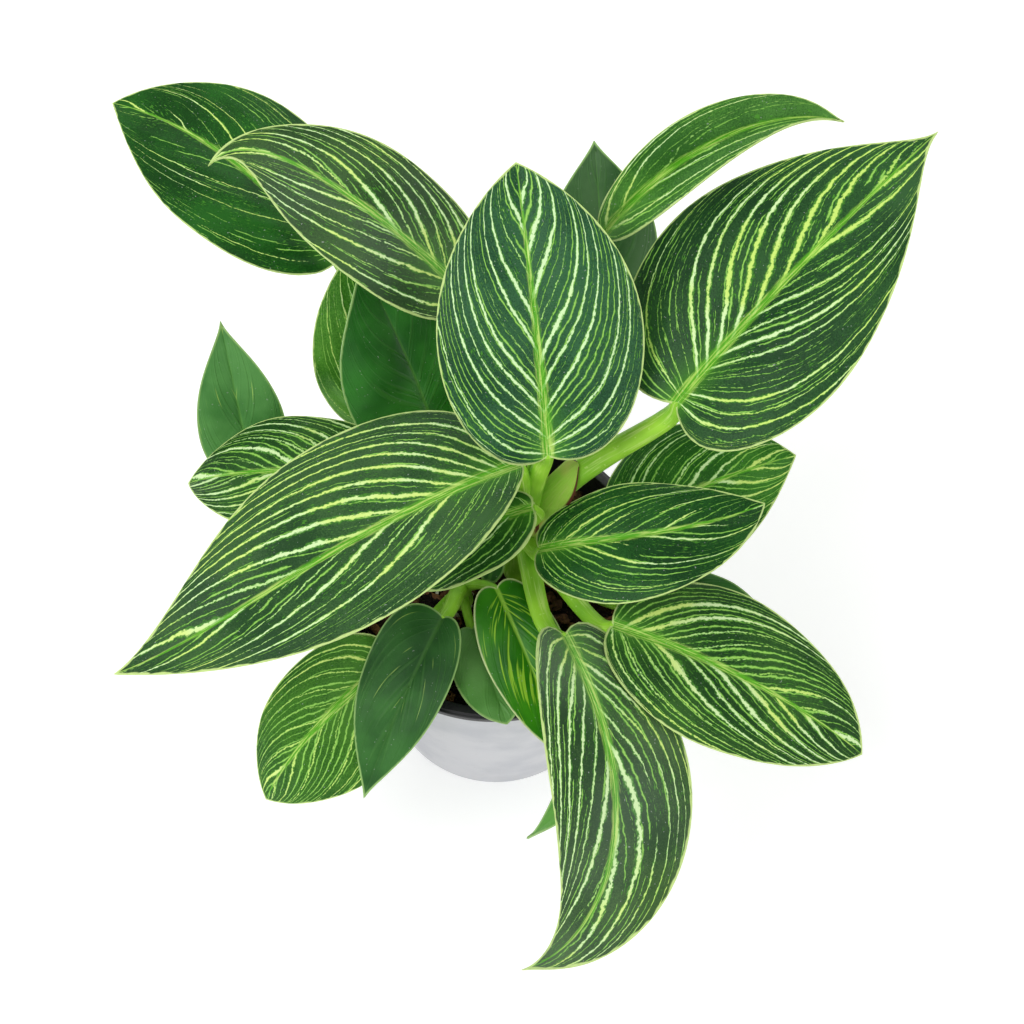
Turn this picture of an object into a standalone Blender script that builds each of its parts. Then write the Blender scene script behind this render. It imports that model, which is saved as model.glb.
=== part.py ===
"""Pin-striped philodendron, a young plant in a nursery pot that stands in a cover pot.

The leaves, stems, soil and both pots are separate solids. Sizes in the tables are
millimetres and degrees, and Blender's own units are metres with +Z up. The origin is the
centre of the cover pot's base.
"""

import math
from dataclasses import dataclass

import bmesh
import bpy
import numpy as np
from mathutils import noise

MM = 0.001
GAP = 0.3
WELD = 0.01
SHARP_ANGLE = 35.0

# Colours
PALE_GREY = (0.62, 0.63, 0.66)
BLACK = (0.012, 0.012, 0.014)
PEAT = (0.035, 0.022, 0.014)
STALK_GREEN = (0.22, 0.42, 0.04)
STRIPED_GREEN = (0.05, 0.15, 0.075)
PLAIN_GREEN = (0.045, 0.125, 0.035)
BRIGHT_GREEN = (0.05, 0.2, 0.02)
SATIN = 0.4
ROUGH = 0.95

# Pots, in millimetres
POT_HEIGHT = 108.0
LIP_RADIUS = 60.0
LIP_HEIGHT = 3.2
NURSERY_WALL = 1.4
NURSERY_FLOOR_RADIUS = 39.0
NURSERY_FLOOR_LEVEL = 3.4
NURSERY_FLOOR = 2.0
NURSERY_FILLET = 1.0
LIP_BEVEL = 0.6
DRAIN_HOLES = 6
DRAIN_SIDES = 16
DRAIN_HOLE_RADIUS = 3.5
DRAIN_CUT_DEPTH = 3 * NURSERY_FLOOR
DRAIN_CIRCLE_RADIUS = 26.0
COVER_RADIUS = 58.8
COVER_BASE_RADIUS = 44.5
COVER_WALL = 1.9
COVER_FLOOR = 3.0
COVER_FILLET = 1.5
COVER_RIM_BEVEL = 0.4
COVER_FOOT_ROUND = 2.0
COVER_TOP = POT_HEIGHT - LIP_HEIGHT - GAP
POT_SIDES = 48

# Soil, in millimetres
SOIL_LEVEL = 95.0
SOIL_MOUND = 3.0
SOIL_LUMP = 1.6
SOIL_LUMP_WIDTH = 7.0
SOIL_EDGE_DROP = 2.0
SOIL_EDGE_ROUND = 0.6
SOIL_FILLET = 1.5
SOIL_RINGS = 6
SOIL_SIDES = 40
STEM_FOOT = 58.0

# Blades
BLADE_THICKNESS = 0.8
BLADE_COLUMNS = 12
BLADE_ROWS = 3
SMALL_BLADE_COLUMNS = 8
SMALL_BLADE_ROWS = 2
SMALL_BLADE_LENGTH = 60.0
MIDRIB_SAMPLES = 80
VEIN_CROWDING = 4.6
VEIN_SPREAD = 0.1
VEIN_REACH = 0.42
VEIN_SIDE = 0.58
MARGIN_BASE_FULLNESS = 0.92
MARGIN_TIP_FULLNESS = 1.68
POINT_POWER = 6
CURL_POWER = 5
RIPPLES = 1.5
RIPPLE_OFFSET = 0.31
BLADE_WELD = 0.05
ON_MIDRIB = 1e-6

# Stems and stalks
STEM_TAPER = 0.25
STEM_POINTS = 5
STEM_SIDES = 14
STALK_NECK = 18.0
STALK_NECK_SHARE = 0.3
STALK_LEAN = 0.15
STALK_FOOT = 1.2
STALK_TAPER = 0.4
STALK_TIP = 0.6
STALK_POINTS = 10
STALK_SIDES = 8
STALK_TIP_GAP = 0.5
STALK_TIP_TILT = 2.5


@dataclass(frozen=True)
class Stem:
    """A short stem that stands in the soil and carries stalks."""

    name: str
    foot: tuple
    top: tuple
    radius: float


@dataclass(frozen=True)
class Leaf:
    """One leaf: where its blade is joined to its stalk, how the blade lies, and its outline.

    Angles are degrees. Heading is measured from +X towards +Y, rise is above level at the
    base, arch is how far the midrib has bent down at the tip, swing is its bend to the left,
    roll lifts the right half and twist adds to the roll at the tip. The trims are the shares
    by which the left and the right half are narrowed, near the base and near the tip.
    """

    name: str
    base: tuple
    heading: float
    rise: float
    length: float
    width: float
    arch: float = 30.0
    swing: float = 0.0
    swing_power: float = 2.0
    roll: float = 0.0
    twist: float = 0.0
    fold: float = 16.0
    cup: float = 0.3
    lobe: float = 0.16
    belly: float = 0.62
    point: float = 0.3
    skew: float = 0.0
    base_trim: tuple = (0.0, 0.0)
    tip_trim: tuple = (0.0, 0.0)
    wave: float = 1.5
    curl: float = 0.0
    green: tuple = STRIPED_GREEN
    stem: str = "main_stem"
    stalk_from: float = 112.0
    stalk_radius: float = 3.0
    stalk_lift: float = 0.45
    stalk_bow: float = 0.0
    approach: float = 0.6


STEMS = (
    Stem("main_stem", (9, 3, STEM_FOOT), (13, 8, 146), 8.0),
    Stem("side_stem", (-12, -7, STEM_FOOT), (-12, -8, 112), 4.5),
)

LEAVES = (
    Leaf(
        "leaf_centre", (19, 1, 192), 98, 52, 100, 73, arch=30, skew=0.04, lobe=0.12, point=0.1,
        stalk_radius=3.6, stalk_from=124,
    ),
    Leaf(
        "leaf_right", (62, 17, 200), 41, 37, 132, 88, arch=38, skew=-0.03, swing=6, belly=0.52,
        lobe=0.2, point=0.9, tip_trim=(-0.2, 0.1), stalk_radius=4.2, stalk_from=122,
    ),
    Leaf(
        "leaf_left", (10, 5, 180), 213, 22, 162, 84, arch=54, skew=0.03, swing=-31,
        swing_power=5, belly=0.5, lobe=0.02, point=0.6, base_trim=(0.85, -0.1),
        tip_trim=(0.15, 0.2), stalk_radius=3.2, stalk_from=124,
    ),
    Leaf(
        "leaf_upper_left", (-8, 59, 200), 146, 38, 113, 56, arch=56, swing=90, swing_power=9,
        lobe=0.1, point=0.9, tip_trim=(0.1, 0), stalk_from=128,
    ),
    Leaf(
        "leaf_far_left", (-58, 101, 165), 138, 25, 114, 68, arch=40, swing=16, lobe=0.05,
        stalk_from=124, stalk_lift=0.2, stalk_bow=-48,
    ),
    Leaf(
        "leaf_back_left_striped", (-44, 56, 124), 94, 86, 92, 46, arch=22, stalk_from=108,
        stalk_lift=0.05, approach=3,
    ),
    Leaf(
        "leaf_back_left_plain", (-22, 40, 144), 130, 72, 76, 60, arch=22, stalk_from=116,
        green=PLAIN_GREEN,
    ),
    Leaf(
        "leaf_left_plain", (-92, 37, 113), 103, 60, 63, 37, arch=22, point=0.8,
        tip_trim=(0.15, 0.2), stalk_from=108, stalk_lift=0.2, stalk_radius=2.2, approach=3,
        green=PLAIN_GREEN,
    ),
    Leaf("leaf_left_striped", (-42, 17, 147), 169, 0, 82, 52, arch=42, stalk_from=114),
    Leaf(
        "leaf_under_left", (14, -4, 166), 190, -12, 68, 34, arch=40, lobe=0.1, skew=-0.3,
        stalk_from=120, stalk_radius=2.4, approach=0.2,
    ),
    Leaf(
        "leaf_mid_right", (16, -12, 149), -4, 28, 84, 48, arch=36, swing=34, skew=0.1,
        lobe=0.08,
    ),
    Leaf("leaf_right_behind", (46, 12, 120), 14, 36, 72, 64, arch=30, skew=0.06, stalk_from=108),
    Leaf(
        "leaf_lower_right", (42, -35, 135), -20, 0, 104, 62, arch=34, swing=-8, lobe=0.08,
        point=0, stalk_radius=3.4,
    ),
    Leaf(
        "leaf_right_low", (50, -17, 116), 2, 6, 46, 28, arch=16, stalk_from=104,
        stalk_radius=2.2, stalk_lift=0.2, green=PLAIN_GREEN,
    ),
    Leaf(
        "leaf_front", (25, -41, 140), -66, 0, 144, 58, arch=70, swing=-115, roll=30,
        twist=-45, curl=-30, skew=-0.05, point=0.9, tip_trim=(0.05, 0.35),
        stalk_radius=3.8,
    ),
    Leaf(
        "leaf_front_hidden", (44, -54, 111), -112, -18, 72, 18, arch=50, swing=-75,
        point=0.9, tip_trim=(0.6, 0.5), stalk_from=108, stalk_radius=1.7, approach=2.5,
        green=PLAIN_GREEN,
    ),
    Leaf(
        "leaf_front_left_plain", (-18, -28.5, 128), -118, -14, 74.5, 36, arch=36, skew=0.05,
        lobe=0.12, point=0.7, base_trim=(0.1, -0.6), tip_trim=(0.3, 0.2), stem="side_stem",
        stalk_from=104, green=PLAIN_GREEN,
    ),
    Leaf(
        "leaf_front_left_striped", (-37, -40, 116), -146, -18, 84, 52, arch=50, skew=-0.1,
        roll=14, fold=8, stem="side_stem", stalk_from=102, stalk_lift=0.2,
    ),
    Leaf(
        "leaf_front_small", (-8, -26, 113), -71, 2, 40, 26, arch=6, belly=0.76, point=0, fold=8,
        cup=0.1, wave=0.5, stem="side_stem", stalk_from=102, stalk_radius=1.8, green=PLAIN_GREEN,
    ),
    Leaf(
        "leaf_front_bright", (1, -16, 126), -66, -5, 68, 32, arch=34, stem="side_stem",
        stalk_from=106, stalk_radius=1.8, green=BRIGHT_GREEN,
    ),
    Leaf(
        "leaf_bud", (-2, -9, 117), 70, 24, 13, 9, arch=20, point=0, cup=0.1, wave=0,
        stem="side_stem", stalk_from=104, stalk_radius=1.3, green=PLAIN_GREEN,
    ),
    Leaf(
        "leaf_back_plain", (41, 80, 165), 97, 60, 62, 44, arch=22, point=0.7, stalk_from=118,
        stalk_radius=2.4, green=PLAIN_GREEN,
    ),
    Leaf(
        "leaf_far_right", (38, 74, 218), 28, 56, 100, 34, arch=84, swing=-20, roll=-20, fold=40,
        belly=0.7, lobe=0, point=0.9, skew=0.2, tip_trim=(-0.3, 1.0), stalk_from=126,
    ),
)


def remove_start_objects():
    """Take away whatever the scene starts with."""
    for obj in list(bpy.data.objects):
        bpy.data.objects.remove(obj, do_unlink=True)


def collection_named(name):
    """Make a collection in the scene."""
    made = bpy.data.collections.new(name)
    bpy.context.scene.collection.children.link(made)
    return made


def principled(name, colour, roughness):
    """Make a material with one Principled shader."""
    material = bpy.data.materials.new(name)
    material.use_nodes = True
    shader = material.node_tree.nodes["Principled BSDF"]
    shader.inputs["Base Color"].default_value = (*colour, 1.0)
    shader.inputs["Roughness"].default_value = roughness
    material.diffuse_color = (*colour, 1.0)
    return material


def object_from(mesh, name, collection, material=None):
    """Put a mesh in a collection as a named object."""
    made = bpy.data.objects.new(name, mesh)
    collection.objects.link(made)
    if material:
        made.data.materials.append(material)
    return made


def turned(name, profile, sides, collection, material=None):
    """Turn a profile of (radius, height) points, in millimetres, about the Z axis."""
    mesh = bpy.data.meshes.new(name)
    shape = bmesh.new()
    verts = [shape.verts.new((radius * MM, 0, height * MM)) for radius, height in profile]
    for first, second in zip(verts, verts[1:]):
        shape.edges.new((first, second))
    shape.to_mesh(mesh)
    shape.free()
    made = object_from(mesh, name, collection, material)
    screw = made.modifiers.new("Turn", "SCREW")
    screw.steps = sides
    screw.render_steps = sides
    screw.use_merge_vertices = True
    screw.merge_threshold = WELD * MM
    screw.use_smooth_shade = True
    return made


def settle(obj):
    """Replace an object's modifiers with the mesh that they make."""
    graph = bpy.context.evaluated_depsgraph_get()
    mesh = bpy.data.meshes.new_from_object(obj.evaluated_get(graph))
    obj.modifiers.clear()
    obj.data = mesh


def boolean(obj, operation, tools, solver="EXACT"):
    """Cut or join an object with every object of a collection."""
    modifier = obj.modifiers.new(operation.title(), "BOOLEAN")
    modifier.operation = operation
    modifier.operand_type = "COLLECTION"
    modifier.collection = tools
    modifier.solver = solver


def mark_cutter(obj):
    """Show an object as wires and keep it out of renders, since it only cuts."""
    obj.hide_render = True
    obj.display_type = "WIRE"


def smooth(obj):
    """Shade round faces smooth and keep real corners sharp."""
    obj.data.shade_smooth()
    obj.data.set_sharp_from_angle(angle=math.radians(SHARP_ANGLE))


def build_cover_pot(collection):
    """Make the pale outer pot: a plain tapered cup with a flat base."""
    base = COVER_BASE_RADIUS
    taper = (COVER_RADIUS - base) / COVER_TOP
    inner_floor = base + taper * COVER_FLOOR - COVER_WALL
    inner_rim = COVER_RADIUS - COVER_WALL
    bevel = COVER_RIM_BEVEL
    foot = COVER_FOOT_ROUND
    foot_cut = foot * (1 - math.sqrt(0.5))
    profile = (
        (0, COVER_FLOOR),
        (inner_floor - COVER_FILLET, COVER_FLOOR),
        (inner_floor + taper * COVER_FILLET, COVER_FLOOR + COVER_FILLET),
        (inner_rim, COVER_TOP - bevel),
        (inner_rim + bevel, COVER_TOP),
        (COVER_RADIUS - bevel, COVER_TOP),
        (COVER_RADIUS, COVER_TOP - bevel),
        (base + taper * foot, foot),
        (base - foot_cut, foot_cut),
        (base - foot, 0),
        (0, 0),
    )
    colour = principled("cover_pot", PALE_GREY, SATIN)
    turned("cover_pot", profile, POT_SIDES, collection, colour)


def nursery_radius(height):
    """Give the nursery pot's outer radius at a height, in millimetres."""
    top = COVER_RADIUS - COVER_WALL - GAP
    share = (height - NURSERY_FLOOR_LEVEL) / (COVER_TOP - NURSERY_FLOOR_LEVEL)
    return NURSERY_FLOOR_RADIUS + (top - NURSERY_FLOOR_RADIUS) * share


def build_nursery_pot(collection, cutters):
    """Make the dark inner pot, whose lip hangs over the cover pot's rim."""
    wall = NURSERY_WALL
    fillet = NURSERY_FILLET
    bevel = LIP_BEVEL
    floor = NURSERY_FLOOR_LEVEL + NURSERY_FLOOR
    lip_foot = COVER_TOP + GAP
    mouth = nursery_radius(lip_foot) - wall
    profile = (
        (0, floor),
        (nursery_radius(floor) - wall - fillet, floor),
        (nursery_radius(floor + fillet) - wall, floor + fillet),
        (mouth, lip_foot),
        (mouth, POT_HEIGHT - bevel),
        (mouth + bevel, POT_HEIGHT),
        (LIP_RADIUS - bevel, POT_HEIGHT),
        (LIP_RADIUS, POT_HEIGHT - bevel),
        (LIP_RADIUS, lip_foot),
        (nursery_radius(lip_foot), lip_foot),
        (nursery_radius(floor), floor),
        (NURSERY_FLOOR_RADIUS - fillet, NURSERY_FLOOR_LEVEL),
        (0, NURSERY_FLOOR_LEVEL),
    )
    colour = principled("nursery_pot", BLACK, SATIN)
    pot = turned("nursery_pot", profile, POT_SIDES, collection, colour)
    holes = bpy.data.collections.new("drain_holes")
    cutters.children.link(holes)
    for step in range(DRAIN_HOLES):
        angle = math.tau * step / DRAIN_HOLES
        place = (
            DRAIN_CIRCLE_RADIUS * math.cos(angle) * MM,
            DRAIN_CIRCLE_RADIUS * math.sin(angle) * MM,
            (NURSERY_FLOOR_LEVEL + NURSERY_FLOOR / 2) * MM,
        )
        drain_cutter(f"drain_hole_{step + 1}", place, holes)
    boolean(pot, "DIFFERENCE", holes)


def drain_cutter(name, place, collection):
    """Make the cutter of one drain hole: a cylinder about Z, centred at a place in metres."""
    mesh = bpy.data.meshes.new(name)
    shape = bmesh.new()
    bmesh.ops.create_cone(
        shape,
        cap_ends=True,
        segments=DRAIN_SIDES,
        radius1=DRAIN_HOLE_RADIUS * MM,
        radius2=DRAIN_HOLE_RADIUS * MM,
        depth=DRAIN_CUT_DEPTH * MM,
    )
    shape.to_mesh(mesh)
    shape.free()
    made = object_from(mesh, name, collection)
    made.location = place
    mark_cutter(made)


def build_soil(collection, cutters):
    """Make the potting mix: a filled, slightly mounded body with a hole for each stem."""
    wall = NURSERY_WALL + GAP
    floor = NURSERY_FLOOR_LEVEL + NURSERY_FLOOR + GAP
    edge_level = SOIL_LEVEL - SOIL_EDGE_DROP
    edge = nursery_radius(edge_level) - wall
    top = []
    for ring in range(SOIL_RINGS + 1):
        share = ring / SOIL_RINGS
        height = SOIL_LEVEL + SOIL_MOUND * math.cos(share * math.pi / 2)
        top.append(((edge - SOIL_EDGE_ROUND) * share, height))
    profile = (
        *top,
        (edge, edge_level),
        (nursery_radius(floor + SOIL_FILLET) - wall, floor + SOIL_FILLET),
        (nursery_radius(floor) - wall - SOIL_FILLET, floor),
        (0, floor),
    )
    colour = principled("soil", PEAT, ROUGH)
    soil = turned("soil", profile, SOIL_SIDES, collection, colour)
    settle(soil)
    for vert in soil.data.vertices:
        reach = math.hypot(vert.co.x, vert.co.y) / MM
        if vert.co.z > edge_level * MM and reach < edge - 2 * SOIL_EDGE_ROUND:
            lump = noise.noise(vert.co.to_2d().to_3d() / (SOIL_LUMP_WIDTH * MM))
            vert.co.z += lump * SOIL_LUMP * MM
    holes = bpy.data.collections.new("stem_holes")
    cutters.children.link(holes)
    for stem in STEMS:
        mark_cutter(tube(f"{stem.name}_hole", stem_line(stem, GAP), holes, STEM_SIDES))
    boolean(soil, "DIFFERENCE", holes)


def stem_line(stem, spare=0.0):
    """Give a stem's centre line as (point, radius) pairs, widened by a spare clearance."""
    foot = np.array(stem.foot, float)
    top = np.array(stem.top, float)
    line = []
    for share in np.linspace(0, 1, STEM_POINTS):
        radius = stem.radius * (1 - STEM_TAPER * share**2)
        line.append((foot + (top - foot) * share, radius + spare))
    if spare:
        line[0] = (line[0][0] - (0, 0, spare), line[0][1])
    return line


def tube(name, line, collection, sides):
    """Sweep a round section of changing radius along a line of points, in millimetres.

    A curve's bevel has four sides, and two more for each step of its resolution.
    """
    curve = bpy.data.curves.new(name, "CURVE")
    curve.dimensions = "3D"
    curve.bevel_depth = MM
    curve.bevel_resolution = sides // 2 - 2
    curve.use_fill_caps = True
    spline = curve.splines.new("POLY")
    spline.points.add(len(line) - 1)
    for point, (place, radius) in zip(spline.points, line):
        point.co = (*(np.asarray(place) * MM), 1)
        point.radius = radius
    swept = bpy.data.objects.new(name, curve)
    collection.objects.link(swept)
    bpy.context.view_layer.update()
    graph = bpy.context.evaluated_depsgraph_get()
    mesh = bpy.data.meshes.new_from_object(swept.evaluated_get(graph))
    bpy.data.objects.remove(swept)
    shape = bmesh.new()
    shape.from_mesh(mesh)
    bmesh.ops.remove_doubles(shape, verts=shape.verts, dist=WELD * MM)
    bmesh.ops.recalc_face_normals(shape, faces=shape.faces)
    shape.to_mesh(mesh)
    shape.free()
    return object_from(mesh, name, collection)


def midrib(leaf):
    """Follow a leaf's midrib.

    Returns the share of its length, the point, and the tangent, right-hand side and upper
    face directions at each of its samples.
    """
    share = np.linspace(0, 1, MIDRIB_SAMPLES)
    heading = np.radians(leaf.heading + leaf.swing * share**leaf.swing_power)
    rise = np.radians(leaf.rise - leaf.arch * share - leaf.curl * share**CURL_POWER)
    roll = np.radians(leaf.roll + leaf.twist * share)
    ahead = np.stack(
        [np.cos(rise) * np.cos(heading), np.cos(rise) * np.sin(heading), np.sin(rise)], 1
    )
    right = np.stack([np.sin(heading), -np.cos(heading), np.zeros_like(heading)], 1)
    up = np.cross(right, ahead)
    turn_cos = np.cos(roll)[:, None]
    turn_sin = np.sin(roll)[:, None]
    side = right * turn_cos + up * turn_sin
    face = up * turn_cos - right * turn_sin
    middle = (ahead[1:] + ahead[:-1]) / 2
    travel = np.cumsum(middle, 0) * leaf.length / (MIDRIB_SAMPLES - 1)
    point = np.vstack([np.zeros(3), travel]) + np.array(leaf.base, float)
    return share, point, ahead, side, face


def blade_surface(leaf, along, across):
    """Place points of a blade.

    Along runs from 0 at the base to 1 at the tip, and picks a side vein. Across runs along
    that vein, from 0 on the midrib to 1 on the right margin or -1 on the left one.
    """
    along = np.asarray(along, float)
    across = np.asarray(across, float)
    out = np.abs(across)
    hand = np.sign(across)
    rest = 1 - along
    margin_x = -3 * rest**2 * along * leaf.lobe + 3 * rest * along**2 * leaf.belly + along**3
    margin_y = 3 * rest**2 * along * MARGIN_BASE_FULLNESS
    margin_y = margin_y + 3 * rest * along**2 * MARGIN_TIP_FULLNESS
    margin_y = margin_y * (1 - leaf.point * along**POINT_POWER)
    base_trim = np.where(hand < 0, *leaf.base_trim)
    tip_trim = np.where(hand < 0, *leaf.tip_trim)
    margin_y = margin_y * (1 - base_trim * rest**2 - tip_trim * along**2)
    start = VEIN_SPREAD * along + (1 - VEIN_SPREAD) * along**VEIN_CROWDING
    bend_x = start + VEIN_REACH * (margin_x - start)
    bend_y = VEIN_SIDE * margin_y
    flat_x = (1 - out) ** 2 * start + 2 * (1 - out) * out * bend_x + out**2 * margin_x
    flat_y = 2 * (1 - out) * out * bend_y + out**2 * margin_y
    half = leaf.width / 2 * (1 + leaf.skew * hand)
    share, point, ahead, side, face = midrib(leaf)
    inside = np.clip(flat_x, 0, 1)
    behind = (flat_x - inside) * leaf.length

    def at(values):
        """Read a midrib quantity at each point's share of the length."""
        return np.stack([np.interp(inside, share, values[:, k]) for k in range(3)], -1)

    ripple = np.sin(math.tau * (RIPPLES * flat_x + RIPPLE_OFFSET * hand))
    fold = math.radians(leaf.fold)
    lift = flat_y * half * math.sin(fold) - leaf.cup * flat_y**2 * half
    lift = lift + leaf.wave * flat_y**2 * ripple
    place = at(point) + at(ahead) * behind[..., None]
    place = place + at(side) * (hand * flat_y * half * math.cos(fold))[..., None]
    return place + at(face) * lift[..., None]


def build_leaf(leaf, collection):
    """Make one blade as a grid laid over its surface and thickened."""
    small = leaf.length < SMALL_BLADE_LENGTH
    columns = SMALL_BLADE_COLUMNS if small else BLADE_COLUMNS
    rows = SMALL_BLADE_ROWS if small else BLADE_ROWS
    shape = bmesh.new()
    bmesh.ops.create_grid(shape, x_segments=columns, y_segments=2 * rows, size=1.0)
    verts = list(shape.verts)
    along = np.array([(vert.co.x + 1) / 2 for vert in verts])
    across = np.array([-vert.co.y for vert in verts])
    across[np.abs(across) < ON_MIDRIB] = 0
    for vert, place in zip(verts, blade_surface(leaf, along, across)):
        vert.co = place * MM
    bmesh.ops.remove_doubles(shape, verts=shape.verts, dist=BLADE_WELD * MM)
    bmesh.ops.triangulate(shape, faces=shape.faces)
    mesh = bpy.data.meshes.new(leaf.name)
    shape.to_mesh(mesh)
    shape.free()
    colour = principled(leaf.name, leaf.green, SATIN)
    made = object_from(mesh, leaf.name, collection, colour)
    made.data.shade_smooth()
    solid = made.modifiers.new("Thickness", "SOLIDIFY")
    solid.thickness = BLADE_THICKNESS * MM
    solid.offset = 0


def stalk_line(leaf, stem):
    """Give a stalk's centre line from inside its stem to just under the blade's base."""
    _, point, ahead, _, face = midrib(leaf)
    arrive = leaf.approach * ahead[0] + face[0]
    arrive = arrive / np.linalg.norm(arrive)
    tip_radius = STALK_TIP * leaf.stalk_radius
    tilt = math.sqrt(max(0.0, 1 - float(arrive @ face[0]) ** 2))
    clear = BLADE_THICKNESS / 2 + STALK_TIP_GAP + tip_radius * tilt**STALK_TIP_TILT
    end = point[0] - face[0] * clear
    foot = np.array(stem.foot, float)
    top = np.array(stem.top, float)
    start = foot + (top - foot) * (leaf.stalk_from - foot[2]) / (top[2] - foot[2])
    span = float(np.linalg.norm(end - start))
    first = start + np.array([0, 0, 1]) * span * leaf.stalk_lift
    first = first + (end - start) * STALK_LEAN
    last = end - arrive * min(STALK_NECK, span * STALK_NECK_SHARE)
    sideways = np.array([start[1] - end[1], end[0] - start[0], 0.0]) / span
    first = first + sideways * leaf.stalk_bow
    line = []
    for share in np.linspace(0, 1, STALK_POINTS):
        rest = 1 - share
        place = rest**3 * start + 3 * rest**2 * share * first
        place = place + 3 * rest * share**2 * last + share**3 * end
        radius = leaf.stalk_radius * (STALK_FOOT - STALK_TAPER * share)
        line.append((place, radius))
    line[-1] = (line[-1][0], tip_radius)
    return line


def build_stem(stem, collection):
    """Make a stem and fuse the stalks of its leaves to it."""
    carried = [leaf for leaf in LEAVES if leaf.stem == stem.name]
    stalks = collection_named(f"{stem.name}_stalks")
    made = tube(stem.name, stem_line(stem), collection, STEM_SIDES)
    made.data.materials.append(principled(stem.name, STALK_GREEN, SATIN))
    for leaf in carried:
        tube(f"{leaf.name}_stalk", stalk_line(leaf, stem), stalks, STALK_SIDES)
    boolean(made, "UNION", stalks, "MANIFOLD")
    settle(made)
    for stalk in list(stalks.objects):
        bpy.data.objects.remove(stalk, do_unlink=True)
    bpy.data.collections.remove(stalks)
    smooth(made)


def main():
    """Build the whole plant in its pots."""
    remove_start_objects()
    plant = collection_named("potted_philodendron")
    cutters = collection_named("cutters")
    build_cover_pot(plant)
    build_nursery_pot(plant, cutters)
    build_soil(plant, cutters)
    for stem in STEMS:
        build_stem(stem, plant)
    for leaf in LEAVES:
        build_leaf(leaf, plant)


if __name__ == "__main__":
    main()
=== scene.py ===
"""Looks of a pin-striped philodendron in a nursery pot that stands in a cover pot.

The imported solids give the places. Each blade, stalk, pot and the potting mix is modelled
again here with finer form, in the same places. Tables are in millimetres and degrees, and
Blender's own units are metres with +Z up.
"""

import logging
import math
import random
from dataclasses import dataclass, field
from enum import Enum
from typing import Sequence

import bpy
import numpy as np
from mathutils import Euler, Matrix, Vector, noise

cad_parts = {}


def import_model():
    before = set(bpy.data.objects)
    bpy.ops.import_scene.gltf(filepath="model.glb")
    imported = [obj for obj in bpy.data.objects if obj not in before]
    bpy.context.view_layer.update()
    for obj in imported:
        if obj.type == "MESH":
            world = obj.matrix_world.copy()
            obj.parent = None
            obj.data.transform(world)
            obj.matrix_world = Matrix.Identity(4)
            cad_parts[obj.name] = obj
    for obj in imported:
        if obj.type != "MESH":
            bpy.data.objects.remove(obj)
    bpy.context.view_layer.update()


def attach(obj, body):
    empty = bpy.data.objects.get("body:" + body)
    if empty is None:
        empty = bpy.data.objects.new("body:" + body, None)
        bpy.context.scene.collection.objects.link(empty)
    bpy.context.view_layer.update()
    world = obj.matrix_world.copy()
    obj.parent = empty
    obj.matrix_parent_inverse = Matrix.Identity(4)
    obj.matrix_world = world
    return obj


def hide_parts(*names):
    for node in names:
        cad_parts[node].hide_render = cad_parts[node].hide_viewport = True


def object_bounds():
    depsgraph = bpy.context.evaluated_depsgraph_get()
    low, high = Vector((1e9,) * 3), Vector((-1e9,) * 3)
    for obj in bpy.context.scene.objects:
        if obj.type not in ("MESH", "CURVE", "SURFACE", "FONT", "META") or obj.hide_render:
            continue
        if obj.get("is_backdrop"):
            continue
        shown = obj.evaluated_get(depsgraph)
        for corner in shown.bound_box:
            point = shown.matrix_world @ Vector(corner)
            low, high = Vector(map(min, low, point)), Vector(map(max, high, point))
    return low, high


LOG = logging.getLogger("philodendron")
MM = 0.001
BODY = "root"

Colour = tuple[float, float, float]
Place = tuple[float, float, float]


def srgb(red: int, green: int, blue: int) -> Colour:
    """Turn a screen colour, 0 to 255, into the linear one that shaders use."""

    def linear(value: int) -> float:
        """Undo the screen's curve for one channel."""
        share = value / 255
        return share / 12.92 if share <= 0.04045 else ((share + 0.055) / 1.055) ** 2.4

    return linear(red), linear(green), linear(blue)


class BladeKind(Enum):
    """The sorts of blade on the plant."""

    STRIPED = "striped_leaf"
    PLAIN = "plain_leaf"
    BRIGHT = "bright_leaf"


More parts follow.
